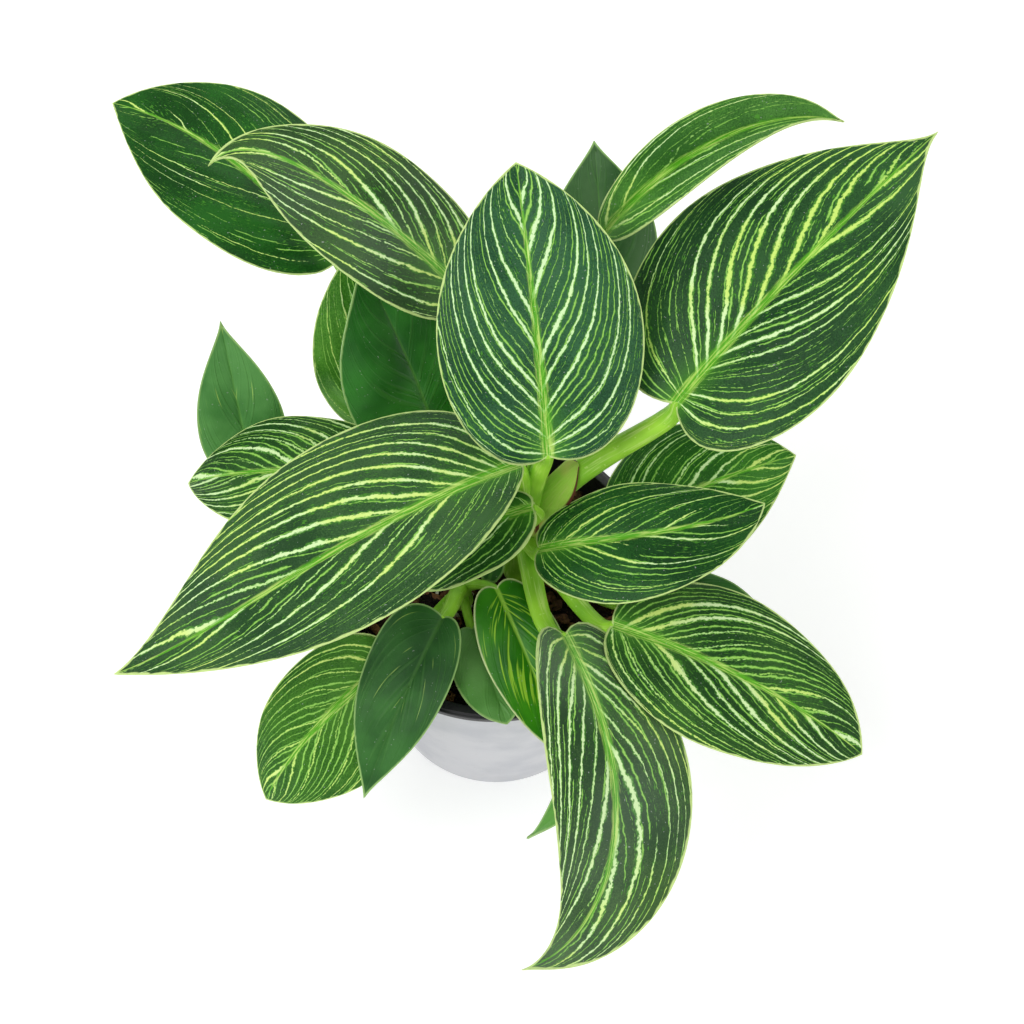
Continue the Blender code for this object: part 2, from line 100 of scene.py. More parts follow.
class Graph:
    """A material's node tree, with short calls for the nodes that the finishes share."""

    def __init__(self, name: str) -> None:
        """Start a material with one Principled shader."""
        self.material = bpy.data.materials.new(name)
        self.material.use_nodes = True
        self.nodes = self.material.node_tree.nodes
        self.links = self.material.node_tree.links
        self.shader = self.nodes["Principled BSDF"]

    def link(self, value: object, socket: bpy.types.NodeSocket) -> None:
        """Feed a socket from another one, or set it to a constant."""
        if isinstance(value, bpy.types.NodeSocket):
            self.links.new(value, socket)
        else:
            socket.default_value = value

    def uv(self, layer: str) -> tuple[object, object]:
        """Give the two coordinates of a UV layer.

        Args:
            layer: Name of the layer.

        Returns:
            The sockets of its two values.
        """
        source = self.nodes.new("ShaderNodeUVMap")
        source.uv_map = layer
        split = self.nodes.new("ShaderNodeSeparateXYZ")
        self.links.new(source.outputs[0], split.inputs[0])
        return split.outputs[0], split.outputs[1]

    def place(self) -> object:
        """Give the object coordinates, which are metres in the row's frame."""
        return self.nodes.new("ShaderNodeTexCoord").outputs["Object"]

    def vector(self, first: object, second: object = 0.0, third: object = 0.0) -> object:
        """Join three values into a vector."""
        join = self.nodes.new("ShaderNodeCombineXYZ")
        for socket, value in zip(join.inputs, (first, second, third)):
            self.link(value, socket)
        return join.outputs[0]

    def math(self, kind: str, first: object, second: object = 0.0, clamp: bool = False) -> object:
        """Work out one sum.

        Args:
            kind: Blender's name of the operation.
            first: First value or socket.
            second: Second value or socket.
            clamp: Whether the result is kept from 0 to 1.

        Returns:
            The socket of the result.
        """
        node = self.nodes.new("ShaderNodeMath")
        node.operation = kind
        node.use_clamp = clamp
        self.link(first, node.inputs[0])
        self.link(second, node.inputs[1])
        return node.outputs[0]

    def noise(self, vector: object, scale: float, detail: float = 0.0, rough: float = 0.5) -> object:
        """Give a noise value about 0.5 at a vector."""
        node = self.nodes.new("ShaderNodeTexNoise")
        node.inputs["Scale"].default_value = scale
        node.inputs["Detail"].default_value = detail
        node.inputs["Roughness"].default_value = rough
        self.link(vector, node.inputs["Vector"])
        return node.outputs["Fac"]

    def step(self, value: object, low: object, high: object) -> object:
        """Rise smoothly from 0 at low to 1 at high, or fall where low is the larger."""
        node = self.nodes.new("ShaderNodeMapRange")
        node.interpolation_type = "SMOOTHSTEP"
        self.link(value, node.inputs["Value"])
        self.link(low, node.inputs["From Min"])
        self.link(high, node.inputs["From Max"])
        return node.outputs["Result"]

    def mix(self, share: object, first: object, second: object) -> object:
        """Mix two colours.

        Args:
            share: Share of the second colour.
            first: A colour or socket.
            second: A colour or socket.

        Returns:
            The socket of the mixed colour.
        """
        node = self.nodes.new("ShaderNodeMix")
        node.data_type = "RGBA"
        colours = [socket for socket in node.inputs if socket.type == "RGBA"]
        self.link(share, node.inputs[0])
        for socket, value in zip(colours, (first, second)):
            self.link((*value, 1.0) if isinstance(value, tuple) else value, socket)
        return next(socket for socket in node.outputs if socket.type == "RGBA")

    def bump(self, height: object, depth: float, strength: float = 1.0) -> None:
        """Tilt the shading by a height.

        Args:
            height: Socket of the height, about 0 to 1.
            depth: Real depth of a height of 1, in metres.
            strength: Share of the full effect.
        """
        node = self.nodes.new("ShaderNodeBump")
        node.inputs["Distance"].default_value = depth
        node.inputs["Strength"].default_value = strength
        self.link(height, node.inputs["Height"])
        self.links.new(node.outputs[0], self.shader.inputs["Normal"])

    def finish(self, colour: object, rough: object, **constants: object) -> bpy.types.Material:
        """Feed the shader and give the material.

        Args:
            colour: Base colour or its socket.
            rough: Roughness or its socket.
            constants: Further shader sockets, with spaces written as underscores.

        Returns:
            The finished material.
        """
        self.link((*colour, 1.0) if isinstance(colour, tuple) else colour,
                  self.shader.inputs["Base Color"])
        self.link(rough, self.shader.inputs["Roughness"])
        for name, value in constants.items():
            self.shader.inputs[name.replace("_", " ")].default_value = value
        return self.material


@dataclass(frozen=True)
class StripedFinish:
    """Dark blade with pale stripes that follow its side veins."""

    name: str
    seed: float
    broad: float = 0.75
    broad_width: float = 1.0
    fine: float = 0.45
    fine_width: float = 1.0
    dashes: float = 0.5
    yellow: float = 0.3
    # Strength of a painted sheen: soft grey patches of painted reflection mixed into the blade's
    # colour.
    sheen: float = 0.0
    margin: float = 1.0
    deep: Colour = srgb(24, 62, 28)
    middle: Colour = srgb(48, 92, 46)
    halo: Colour = srgb(78, 148, 42)
    young: Colour = srgb(150, 206, 92)
    mint: Colour = srgb(216, 244, 180)
    lemon: Colour = srgb(214, 240, 128)
    rib: Colour = srgb(96, 178, 36)
    edge: Colour = srgb(200, 226, 140)
    # Grey of the painted sheen, a reflection painted into the colour.
    painted_sheen_colour: Colour = srgb(150, 168, 150)

    def lines(self, graph: Graph, count: float, half_mm: float, gaps: float, shift: float,
              stretch: float) -> tuple[object, object, object]:
        """Draw lines along the veins, each with its own width and its own gaps.

        Args:
            graph: The material.
            count: Lines to a decimetre across the veins.
            half_mm: Mean half width of a line, in millimetres.
            gaps: Share of the lines' length that is left out.
            shift: Offset that makes this set differ from the others.
            stretch: Changes to a decimetre along a line.

        Returns:
            The masks of the lines and of the ragged green beside them, and each line's own
            strength.
        """
        width = half_mm * count / 100
        between, along = graph.uv("Veins")
        lateral, _ = graph.uv("Edge")
        _, across = graph.uv("Blade")
        side = graph.math("MULTIPLY", graph.math("GREATER_THAN", lateral, 0.5), 5.3)
        seed = graph.math("ADD", side, self.seed + shift)
        scaled = graph.math("MULTIPLY", between, count)
        sway = graph.noise(graph.vector(graph.math("MULTIPLY", scaled, 0.16),
                                        graph.math("MULTIPLY", along, 1.2), seed), 1.0)
        waver = graph.noise(graph.vector(graph.math("MULTIPLY", between, 14.0),
                                         graph.math("MULTIPLY", along, 18.0), seed), 1.0, 1.0)
        track = graph.math("ADD", scaled, graph.math("MULTIPLY", sway, 1.6))
        track = graph.math("ADD", track, graph.math("MULTIPLY", waver, 0.012 * count))
        cell = graph.math("FLOOR", track)
        off = graph.math("ABSOLUTE", graph.math("SUBTRACT", graph.math("FRACT", track), 0.5))
        own = graph.noise(graph.vector(graph.math("MULTIPLY", cell, 7.31), seed, 0.5), 1.0)
        own = graph.step(own, 0.32, 0.68)
        strength = graph.noise(graph.vector(graph.math("MULTIPLY", cell, 3.17),
                                            graph.math("MULTIPLY", along, stretch), seed), 1.0, 1.0)
        strength = graph.step(strength, 0.2 + 0.4 * gaps, 0.3 + 0.4 * gaps)
        beads = graph.noise(graph.vector(graph.math("MULTIPLY", cell, 5.11),
                                         graph.math("MULTIPLY", along, 30.0), seed), 1.0, 2.0)
        half = graph.math("MULTIPLY", graph.math("ADD", graph.math("MULTIPLY", own, 1.1), 0.25),
                          width)
        half = graph.math("MULTIPLY", half, strength)
        half = graph.math("MULTIPLY", half, graph.math("ADD", graph.math("MULTIPLY", beads, 2.0),
                                                       0.0))
        out = graph.math("ABSOLUTE", graph.math("SUBTRACT", across, 0.5))
        half = graph.math("MULTIPLY", half, graph.math("SUBTRACT", 1.15, out))
        grain = graph.noise(graph.vector(graph.math("MULTIPLY", between, 240.0),
                                         graph.math("MULTIPLY", along, 80.0), shift), 1.0, 1.0)
        ragged = graph.math("MULTIPLY", graph.math("SUBTRACT", grain, 0.5), width * 2.2)
        edge = graph.math("ADD", off, ragged)
        core = graph.step(edge, half, graph.math("MULTIPLY", half, 0.4))
        beside = graph.step(edge, graph.math("MULTIPLY", half, 1.8), graph.math("MULTIPLY", half, 0.8))
        live = graph.step(half, 0.12 * width, 0.35 * width)
        return graph.math("MULTIPLY", core, live), graph.math("MULTIPLY", beside, live), own

    def flecks(self, graph: Graph) -> object:
        """Draw short green flecks along the veins."""
        between, along = graph.uv("Veins")
        spot = graph.noise(graph.vector(graph.math("MULTIPLY", between, 260.0),
                                        graph.math("MULTIPLY", along, 34.0), self.seed), 1.0, 1.0)
        patch = graph.noise(graph.vector(graph.math("MULTIPLY", between, 16.0),
                                         graph.math("MULTIPLY", along, 5.0), self.seed), 1.0)
        level = graph.math("ADD", spot, graph.math("MULTIPLY", patch, 0.3))
        return graph.step(level, 0.86 - 0.1 * self.dashes, 0.9 - 0.1 * self.dashes)

    def pattern(self, graph: Graph) -> tuple[object, object, object, object]:
        """Draw the whole pattern.

        Args:
            graph: The material.

        Returns:
            The masks of the pale stripes, of the fine bright lines between them and of the
            lighter green beside both, and each stripe's own strength.
        """
        broad, broad_side, own = self.lines(graph, 22.0, 0.46 * self.broad_width, 1 - self.broad,
                                            3.0, 0.9)
        fine, fine_side, thin = self.lines(graph, 48.0, 0.22 * self.fine_width, 1 - self.fine,
                                           17.0, 4.0)
        fine = graph.math("MULTIPLY", fine, graph.math("ADD", graph.math("MULTIPLY", thin, 0.5),
                                                       0.5))
        halo = graph.math("MAXIMUM", broad_side, graph.math("MULTIPLY", fine_side, 0.7))
        halo = graph.math("MAXIMUM", halo, self.flecks(graph))
        return broad, fine, halo, graph.math("ADD", graph.math("MULTIPLY", own, 1.1), 0.2)

    def rib_mask(self, graph: Graph, width: float) -> tuple[object, object]:
        """Draw the midrib band with feathered sides.

        Args:
            graph: The material.
            width: Half width at the base, in decimetres.

        Returns:
            The mask of the band, and that of the pale grain along it.
        """
        lateral, _ = graph.uv("Edge")
        share, _ = graph.uv("Blade")
        off_rib = graph.math("ABSOLUTE", graph.math("SUBTRACT", lateral, 0.5))
        feather = graph.noise(graph.vector(graph.math("MULTIPLY", share, 38.0),
                                           graph.math("MULTIPLY", lateral, 90.0), self.seed),
                              1.0, 2.0)
        feather = graph.math("ADD", graph.math("MULTIPLY", feather, 1.1), 0.4)
        reach = graph.math("MULTIPLY", graph.math("SUBTRACT", 1.04, share), width)
        reach = graph.math("MULTIPLY", reach, feather)
        band = graph.step(off_rib, reach, graph.math("MULTIPLY", reach, 0.3))
        grain = graph.noise(graph.vector(graph.math("MULTIPLY", share, 9.0),
                                         graph.math("MULTIPLY", lateral, 190.0), self.seed),
                            1.0, 2.0)
        return band, graph.step(grain, 0.46, 0.6)

    def upper(self) -> bpy.types.Material:
        """Make the finish of the blade's upper face."""
        graph = Graph(f"{self.name}_upper")
        pale, fine, halo, own = self.pattern(graph)
        lateral, inset = graph.uv("Edge")
        share, _ = graph.uv("Blade")
        cloud = graph.noise(graph.place(), 34.0, 2.0)
        speck = graph.noise(graph.place(), 1900.0, 1.0)
        tone = graph.math("ADD", graph.math("MULTIPLY", cloud, 0.6),
                          graph.math("MULTIPLY", speck, 0.4))
        ground = graph.mix(graph.step(tone, 0.38, 0.62), self.deep, self.middle)
        off_rib = graph.math("ABSOLUTE", graph.math("SUBTRACT", lateral, 0.5))
        glow = graph.math("MULTIPLY", graph.step(share, 0.34, 0.02),
                          graph.step(off_rib, 0.11, 0.0))
        ground = graph.mix(graph.math("MULTIPLY", glow, 0.6), ground, self.halo)
        ground = graph.mix(graph.math("MULTIPLY", halo, 0.8), ground, self.halo)
        ground = graph.mix(fine, ground, self.young)
        stripe = graph.mix(graph.step(cloud, 0.7 - 0.5 * self.yellow, 0.9 - 0.5 * self.yellow),
                           self.mint, self.lemon)
        stripe = graph.mix(own, self.young, stripe)
        colour = graph.mix(pale, ground, stripe)
        rib, grain = self.rib_mask(graph, 0.036)
        rib_colour = graph.mix(graph.math("MULTIPLY", grain, 0.75), self.rib, self.lemon)
        colour = graph.mix(graph.math("MULTIPLY", rib, 0.85), colour, rib_colour)
        waver = graph.noise(graph.place(), 160.0, 1.0)
        rim_width = graph.math("ADD", 0.002, graph.math("MULTIPLY", waver, 0.009 * self.margin))
        rim = graph.step(inset, rim_width, graph.math("MULTIPLY", rim_width, 0.55))
        colour = graph.mix(rim, colour, self.edge)
        dust = graph.step(graph.noise(graph.place(), 1500.0, 0.0), 0.81, 0.84)
        colour = graph.mix(graph.math("MULTIPLY", dust, 0.4), colour, (0.6, 0.63, 0.6))
        # Painted sheen: soft grey patches of painted reflection, not a coating on the blade.
        if self.sheen:
            painted_sheen_patches = graph.step(graph.noise(graph.place(), 22.0, 1.0), 0.35, 0.75)
            colour = graph.mix(graph.math("MULTIPLY", painted_sheen_patches, self.sheen), colour, self.painted_sheen_colour)
        relief = graph.math("ADD", graph.math("MULTIPLY", halo, 0.5),
                            graph.math("MULTIPLY", graph.noise(graph.place(), 700.0, 2.0), 0.6))
        graph.bump(relief, 0.00025, 0.8)
        rough = graph.math("ADD", 0.34, graph.math("MULTIPLY", cloud, 0.2))
        return graph.finish(colour, rough, Specular_IOR_Level=0.14)

    def under(self) -> bpy.types.Material:
        """Make the finish of the blade's paler underside."""
        graph = Graph(f"{self.name}_under")
        pale, fine, halo, _ = self.pattern(graph)
        pale = graph.math("MAXIMUM", pale, fine)
        _, inset = graph.uv("Edge")
        cloud = graph.noise(graph.place(), 45.0, 2.0)
        ground = graph.mix(graph.step(cloud, 0.3, 0.7), srgb(78, 116, 74), srgb(98, 138, 90))
        ground = graph.mix(graph.math("MULTIPLY", halo, 0.5), ground, srgb(116, 162, 86))
        colour = graph.mix(graph.math("MULTIPLY", pale, 0.6), ground, srgb(182, 204, 138))
        rib, _ = self.rib_mask(graph, 0.02)
        colour = graph.mix(rib, colour, srgb(146, 184, 92))
        colour = graph.mix(graph.step(inset, 0.014, 0.005), colour, self.edge)
        graph.bump(graph.math("ADD", halo, graph.noise(graph.place(), 600.0, 2.0)), 0.00018, 0.7)
        return graph.finish(colour, 0.55, Specular_IOR_Level=0.3)


@dataclass(frozen=True)
class GreenFinish:
    """Nearly plain blade with faint side veins."""

    name: str
    seed: float
    deep: Colour = srgb(28, 78, 26)
    light: Colour = srgb(56, 114, 46)
    line: Colour = srgb(80, 136, 60)
    rib: Colour = srgb(92, 150, 62)
    edge: Colour = srgb(146, 186, 108)
    streak: Colour = srgb(170, 206, 100)
    lines: float = 0.22
    streaks: float = 0.1
    gloss: float = 0.3

    def upper(self) -> bpy.types.Material:
        """Make the finish of the blade's upper face."""
        return self.face("upper", self.deep, self.light, self.gloss)

    def under(self) -> bpy.types.Material:
        """Make the finish of the blade's paler underside."""
        return self.face("under", srgb(86, 128, 80), srgb(108, 150, 92), 0.55)

    def face(self, side: str, deep: Colour, light: Colour, gloss: float) -> bpy.types.Material:
        """Make the finish of one face.

        Args:
            side: Word for the material's name.
            deep: Darker colour of the blade.
            light: Lighter colour of the blade.
            gloss: Roughness.

        Returns:
            The material.
        """
        graph = Graph(f"{self.name}_{side}")
        between, along = graph.uv("Veins")
        lateral, inset = graph.uv("Edge")
        share, _ = graph.uv("Blade")
        cloud = graph.noise(graph.place(), 50.0, 3.0)
        colour = graph.mix(graph.step(cloud, 0.3, 0.72), deep, light)
        veins = graph.noise(graph.vector(graph.math("MULTIPLY", between, 70.0),
                                         graph.math("MULTIPLY", along, 1.6), self.seed), 1.0, 1.0)
        veins = graph.step(veins, 0.52, 0.68)
        colour = graph.mix(graph.math("MULTIPLY", veins, self.lines), colour, self.line)
        thin = graph.noise(graph.vector(graph.math("MULTIPLY", between, 95.0),
                                        graph.math("MULTIPLY", along, 4.0), self.seed + 9), 1.0, 1.0)
        thin = graph.step(thin, 0.76 - 0.12 * self.streaks, 0.84 - 0.12 * self.streaks)
        colour = graph.mix(graph.math("MULTIPLY", thin, 0.75), colour, self.streak)
        off_rib = graph.math("ABSOLUTE", graph.math("SUBTRACT", lateral, 0.5))
        width = graph.math("MULTIPLY", graph.math("SUBTRACT", 1.05, share), 0.012)
        rib = graph.step(off_rib, width, graph.math("MULTIPLY", width, 0.35))
        fade = graph.math("SUBTRACT", 0.8, graph.math("MULTIPLY", share, 0.6))
        colour = graph.mix(graph.math("MULTIPLY", rib, fade), colour, self.rib)
        colour = graph.mix(graph.step(inset, 0.009, 0.003), colour, self.edge)
        dust = graph.step(graph.noise(graph.place(), 1300.0, 0.0), 0.81, 0.84)
        colour = graph.mix(graph.math("MULTIPLY", dust, 0.35), colour, (0.5, 0.54, 0.5))
        relief = graph.math("ADD", veins, graph.math(
            "MULTIPLY", graph.noise(graph.place(), 700.0, 2.0), 0.6))
        graph.bump(relief, 0.0002, 0.7)
        rough = graph.math("ADD", gloss, graph.math("MULTIPLY", cloud, 0.15))
        return graph.finish(colour, rough, Specular_IOR_Level=0.25)


@dataclass(frozen=True)
class StalkFinish:
    """Fleshy yellow-green skin with lengthwise grain."""

    name: str = "stalk_skin"
    fresh: Colour = srgb(170, 228, 66)
    pale: Colour = srgb(222, 246, 146)
    dark: Colour = srgb(132, 194, 50)

    def build(self) -> bpy.types.Material:
        """Make the material."""
        graph = Graph(self.name)
        length, around = graph.uv("Grain")
        fibre = graph.noise(graph.vector(graph.math("MULTIPLY", length, 6.0),
                                         graph.math("MULTIPLY", around, 26.0), 2.0), 1.0, 2.0)
        cloud = graph.noise(graph.place(), 60.0, 2.0)
        colour = graph.mix(graph.step(cloud, 0.3, 0.7), self.dark, self.fresh)
        colour = graph.mix(graph.math("MULTIPLY", graph.step(fibre, 0.5, 0.75), 0.6),
                           colour, self.pale)
        fleck = graph.step(graph.noise(graph.place(), 620.0, 1.0), 0.68, 0.74)
        colour = graph.mix(graph.math("MULTIPLY", fleck, 0.35), colour, self.pale)
        graph.bump(fibre, 0.0004, 0.6)
        return graph.finish(colour, 0.42, Specular_IOR_Level=0.25)


@dataclass(frozen=True)
class SheathFinish:
    """Thin leaf sheath that dries brown along its edges."""

    name: str
    flesh: Colour = srgb(166, 214, 78)
    dry: Colour = srgb(206, 206, 112)
    brown: Colour = srgb(96, 48, 34)
    dryness: float = 0.3

    def build(self) -> bpy.types.Material:
        """Make the material."""
        graph = Graph(self.name)
        length, across = graph.uv("Grain")
        off = graph.math("ABSOLUTE", graph.math("SUBTRACT", across, 0.5))
        fibre = graph.noise(graph.vector(graph.math("MULTIPLY", length, 5.0),
                                         graph.math("MULTIPLY", across, 40.0), 5.0), 1.0, 2.0)
        spread = graph.math("ADD", graph.noise(graph.place(), 90.0, 2.0), self.dryness)
        colour = graph.mix(graph.step(spread, 0.55, 0.95), self.flesh, self.dry)
        colour = graph.mix(graph.math("MULTIPLY", graph.step(fibre, 0.5, 0.7), 0.4),
                           colour, srgb(200, 210, 120))
        ragged = graph.math("ADD", off, graph.math("MULTIPLY", fibre, 0.06))
        colour = graph.mix(graph.step(ragged, 0.462, 0.492), colour, self.brown)
        graph.bump(fibre, 0.0005, 0.7)
        return graph.finish(colour, 0.55, Specular_IOR_Level=0.3)


@dataclass(frozen=True)
class SoilFinish:
    """Dark, damp, crumbly potting mix."""

    name: str = "potting_mix"
    wet: Colour = srgb(28, 20, 16)
    dry: Colour = srgb(66, 46, 34)
    husk: Colour = srgb(120, 88, 60)

    def build(self) -> bpy.types.Material:
        """Make the material."""
        graph = Graph(self.name)
        place = graph.place()
        clods = graph.noise(place, 150.0, 4.0, 0.65)
        crumbs = graph.noise(place, 620.0, 3.0, 0.7)
        colour = graph.mix(graph.step(clods, 0.4, 0.7), self.wet, self.dry)
        colour = graph.mix(graph.math("MULTIPLY", graph.step(crumbs, 0.6, 0.72), 0.6),
                           colour, self.husk)
        height = graph.math("ADD", clods, graph.math("MULTIPLY", crumbs, 0.7))
        graph.bump(height, 0.003, 1.0)
        return graph.finish(colour, 0.92, Specular_IOR_Level=0.25)


@dataclass(frozen=True)
class BarkFinish:
    """Brown bark with long grain."""

    name: str = "bark"
    dark: Colour = srgb(52, 32, 22)
    light: Colour = srgb(136, 92, 60)

    def build(self) -> bpy.types.Material:
        """Make the material."""
        graph = Graph(self.name)
        place = graph.place()
        patch = graph.noise(place, 130.0, 2.0)
        grain = graph.noise(place, 900.0, 3.0, 0.7)
        mixed = graph.math("ADD", graph.math("MULTIPLY", patch, 0.75),
                           graph.math("MULTIPLY", grain, 0.3))
        colour = graph.mix(graph.step(mixed, 0.4, 0.68), self.dark, self.light)
        graph.bump(grain, 0.0008, 0.9)
        return graph.finish(colour, 0.85, Specular_IOR_Level=0.25)


@dataclass(frozen=True)
class GritFinish:
    """Pale mineral grit in the potting mix."""

    name: str = "grit"
    bright: Colour = srgb(214, 208, 196)
    stained: Colour = srgb(150, 132, 110)

    def build(self) -> bpy.types.Material:
        """Make the material."""
        graph = Graph(self.name)
        stain = graph.noise(graph.place(), 500.0, 3.0)
        colour = graph.mix(graph.step(stain, 0.45, 0.7), self.bright, self.stained)
        graph.bump(stain, 0.0006, 0.8)
        return graph.finish(colour, 0.8)


@dataclass(frozen=True)
class CoverPotFinish:
    """Pale grey-white moulded pot with soft smudges."""

    name: str = "cover_pot_shell"
    clean: Colour = srgb(198, 198, 203)
    smudge: Colour = srgb(184, 185, 192)

    def build(self) -> bpy.types.Material:
        """Make the material."""
        graph = Graph(self.name)
        place = graph.place()
        cloud = graph.noise(place, 48.0, 4.0)
        fine = graph.noise(place, 1500.0, 2.0)
        colour = graph.mix(graph.step(cloud, 0.4, 0.72), self.clean, self.smudge)
        fleck = graph.step(graph.noise(place, 420.0, 1.0), 0.74, 0.78)
        colour = graph.mix(graph.math("MULTIPLY", fleck, 0.25), colour, srgb(160, 156, 150))
        graph.bump(fine, 0.00012, 0.5)
        rough = graph.math("ADD", 0.28, graph.math("MULTIPLY", cloud, 0.2))
        return graph.finish(colour, rough, Specular_IOR_Level=0.5)


@dataclass(frozen=True)
class NurseryPotFinish:
    """Thin black moulded nursery pot, satin, with faint scuffs."""

    name: str = "nursery_pot_shell"
    black: Colour = srgb(26, 26, 29)
    scuff: Colour = srgb(64, 64, 68)

    def build(self) -> bpy.types.Material:
        """Make the material."""
        graph = Graph(self.name)
        place = graph.place()
        wear = graph.noise(place, 180.0, 4.0, 0.7)
        colour = graph.mix(graph.math("MULTIPLY", graph.step(wear, 0.56, 0.75), 0.6),
                           self.black, self.scuff)
        graph.bump(graph.noise(place, 1300.0, 2.0), 0.00015, 0.6)
        rough = graph.math("ADD", 0.3, graph.math("MULTIPLY", wear, 0.25))
        return graph.finish(colour, rough, Specular_IOR_Level=0.5)


@dataclass(frozen=True)
class FloorFinish:
    """Plain pale studio floor."""

    name: str = "studio_floor"
    tone: Colour = (0.92, 0.92, 0.92)
    lit: float = 0.3

    def build(self) -> bpy.types.Material:
        """Make the material."""
        graph = Graph(self.name)
        cloud = graph.noise(graph.place(), 3.0, 2.0)
        colour = graph.mix(graph.math("MULTIPLY", cloud, 0.04), self.tone, (0.8, 0.8, 0.8))
        return graph.finish(colour, 0.9, Specular_IOR_Level=0.1,
                            Emission_Color=(1.0, 1.0, 1.0, 1.0), Emission_Strength=self.lit)


class Bench:
    """Shared hand work on meshes."""

    @staticmethod
    def deselect() -> None:
        """Leave nothing selected."""
        if bpy.context.object and bpy.context.object.mode != "OBJECT":
            bpy.ops.object.mode_set(mode="OBJECT")
        bpy.ops.object.select_all(action="DESELECT")

    @staticmethod
    def pick(piece: bpy.types.Object) -> None:
        """Select one piece alone and make it the active one."""
        Bench.deselect()
        piece.select_set(True)
        bpy.context.view_layer.objects.active = piece

    @staticmethod
    def named(name: str) -> bpy.types.Object:
        """Name the piece that was just added."""
        piece = bpy.context.object
        piece.name = name
        piece.data.name = name
        return piece

    @staticmethod
    def sheet(name: str, columns: int, rows: int) -> tuple[bpy.types.Object, np.ndarray, np.ndarray]:
        """Add a grid and read its own coordinates.

        Args:
            name: Name of the piece.
            columns: Faces along X.
            rows: Faces along Y.

        Returns:
            The piece, and for each vertex its place along X from 0 to 1 and along Y from -1 to 1.
        """
        Bench.deselect()
        bpy.ops.mesh.primitive_grid_add(x_subdivisions=columns, y_subdivisions=rows, size=2)
        piece = Bench.named(name)
        for layer in list(piece.data.uv_layers):
            piece.data.uv_layers.remove(layer)
        flat = np.empty(len(piece.data.vertices) * 3)
        piece.data.vertices.foreach_get("co", flat)
        flat = flat.reshape(-1, 3)
        across = np.where(np.abs(flat[:, 1]) < 1e-6, 0, flat[:, 1])
        return piece, (flat[:, 0] + 1) / 2, across

    @staticmethod
    def put(piece: bpy.types.Object, places: np.ndarray) -> None:
        """Move every vertex to its place in millimetres."""
        piece.data.vertices.foreach_set("co", (places * MM).ravel())
        piece.data.update()

    @staticmethod
    def unwrap(piece: bpy.types.Object, layer: str, first: np.ndarray, second: np.ndarray) -> None:
        """Store two values a vertex as a UV layer."""
        made = piece.data.uv_layers.new(name=layer)
        corners = np.empty(len(piece.data.loops), int)
        piece.data.loops.foreach_get("vertex_index", corners)
        made.data.foreach_set("uv", np.stack([first[corners], second[corners]], 1).ravel())

    @staticmethod
    def merge(piece: bpy.types.Object, reach: float = 0.00002, close: bool = False) -> None:
        """Join vertices that lie together, and turn the faces outwards.

        Args:
            piece: The piece.
            reach: Largest distance that is joined, in metres.
            close: Whether open ends are filled as well.
        """
        Bench.pick(piece)
        bpy.ops.object.mode_set(mode="EDIT")
        bpy.ops.mesh.select_all(action="SELECT")
        bpy.ops.mesh.remove_doubles(threshold=reach)
        if close:
            bpy.ops.mesh.select_all(action="DESELECT")
            bpy.ops.mesh.select_mode(type="EDGE")
            bpy.ops.mesh.select_non_manifold(extend=False)
            bpy.ops.mesh.fill_holes(sides=0)
            bpy.ops.mesh.select_all(action="SELECT")
            bpy.ops.mesh.normals_make_consistent(inside=False)
        bpy.ops.object.mode_set(mode="OBJECT")

    @staticmethod
    def apply(piece: bpy.types.Object, kind: str, **settings: object) -> None:
        """Add a modifier with its settings and apply it."""
        Bench.pick(piece)
        modifier = piece.modifiers.new(kind.title(), kind)
        for name, value in settings.items():
            setattr(modifier, name, value)
        bpy.ops.object.modifier_apply(modifier=modifier.name)

    @staticmethod
    def hand_over(piece: bpy.types.Object, slot: str, *nodes: str) -> bpy.types.Object:
        """Smooth a piece, let it ride, and hide the solids that it replaces.

        Args:
            piece: The piece.
            slot: Not used.
            nodes: Solids that it replaces.

        Returns:
            The piece.
        """
        Bench.pick(piece)
        bpy.ops.object.shade_smooth_by_angle(angle=math.radians(40))
        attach(piece, BODY)
        if nodes:
            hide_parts(*nodes)
        LOG.info("%s: %d faces", piece.name, len(piece.data.polygons))
        return piece


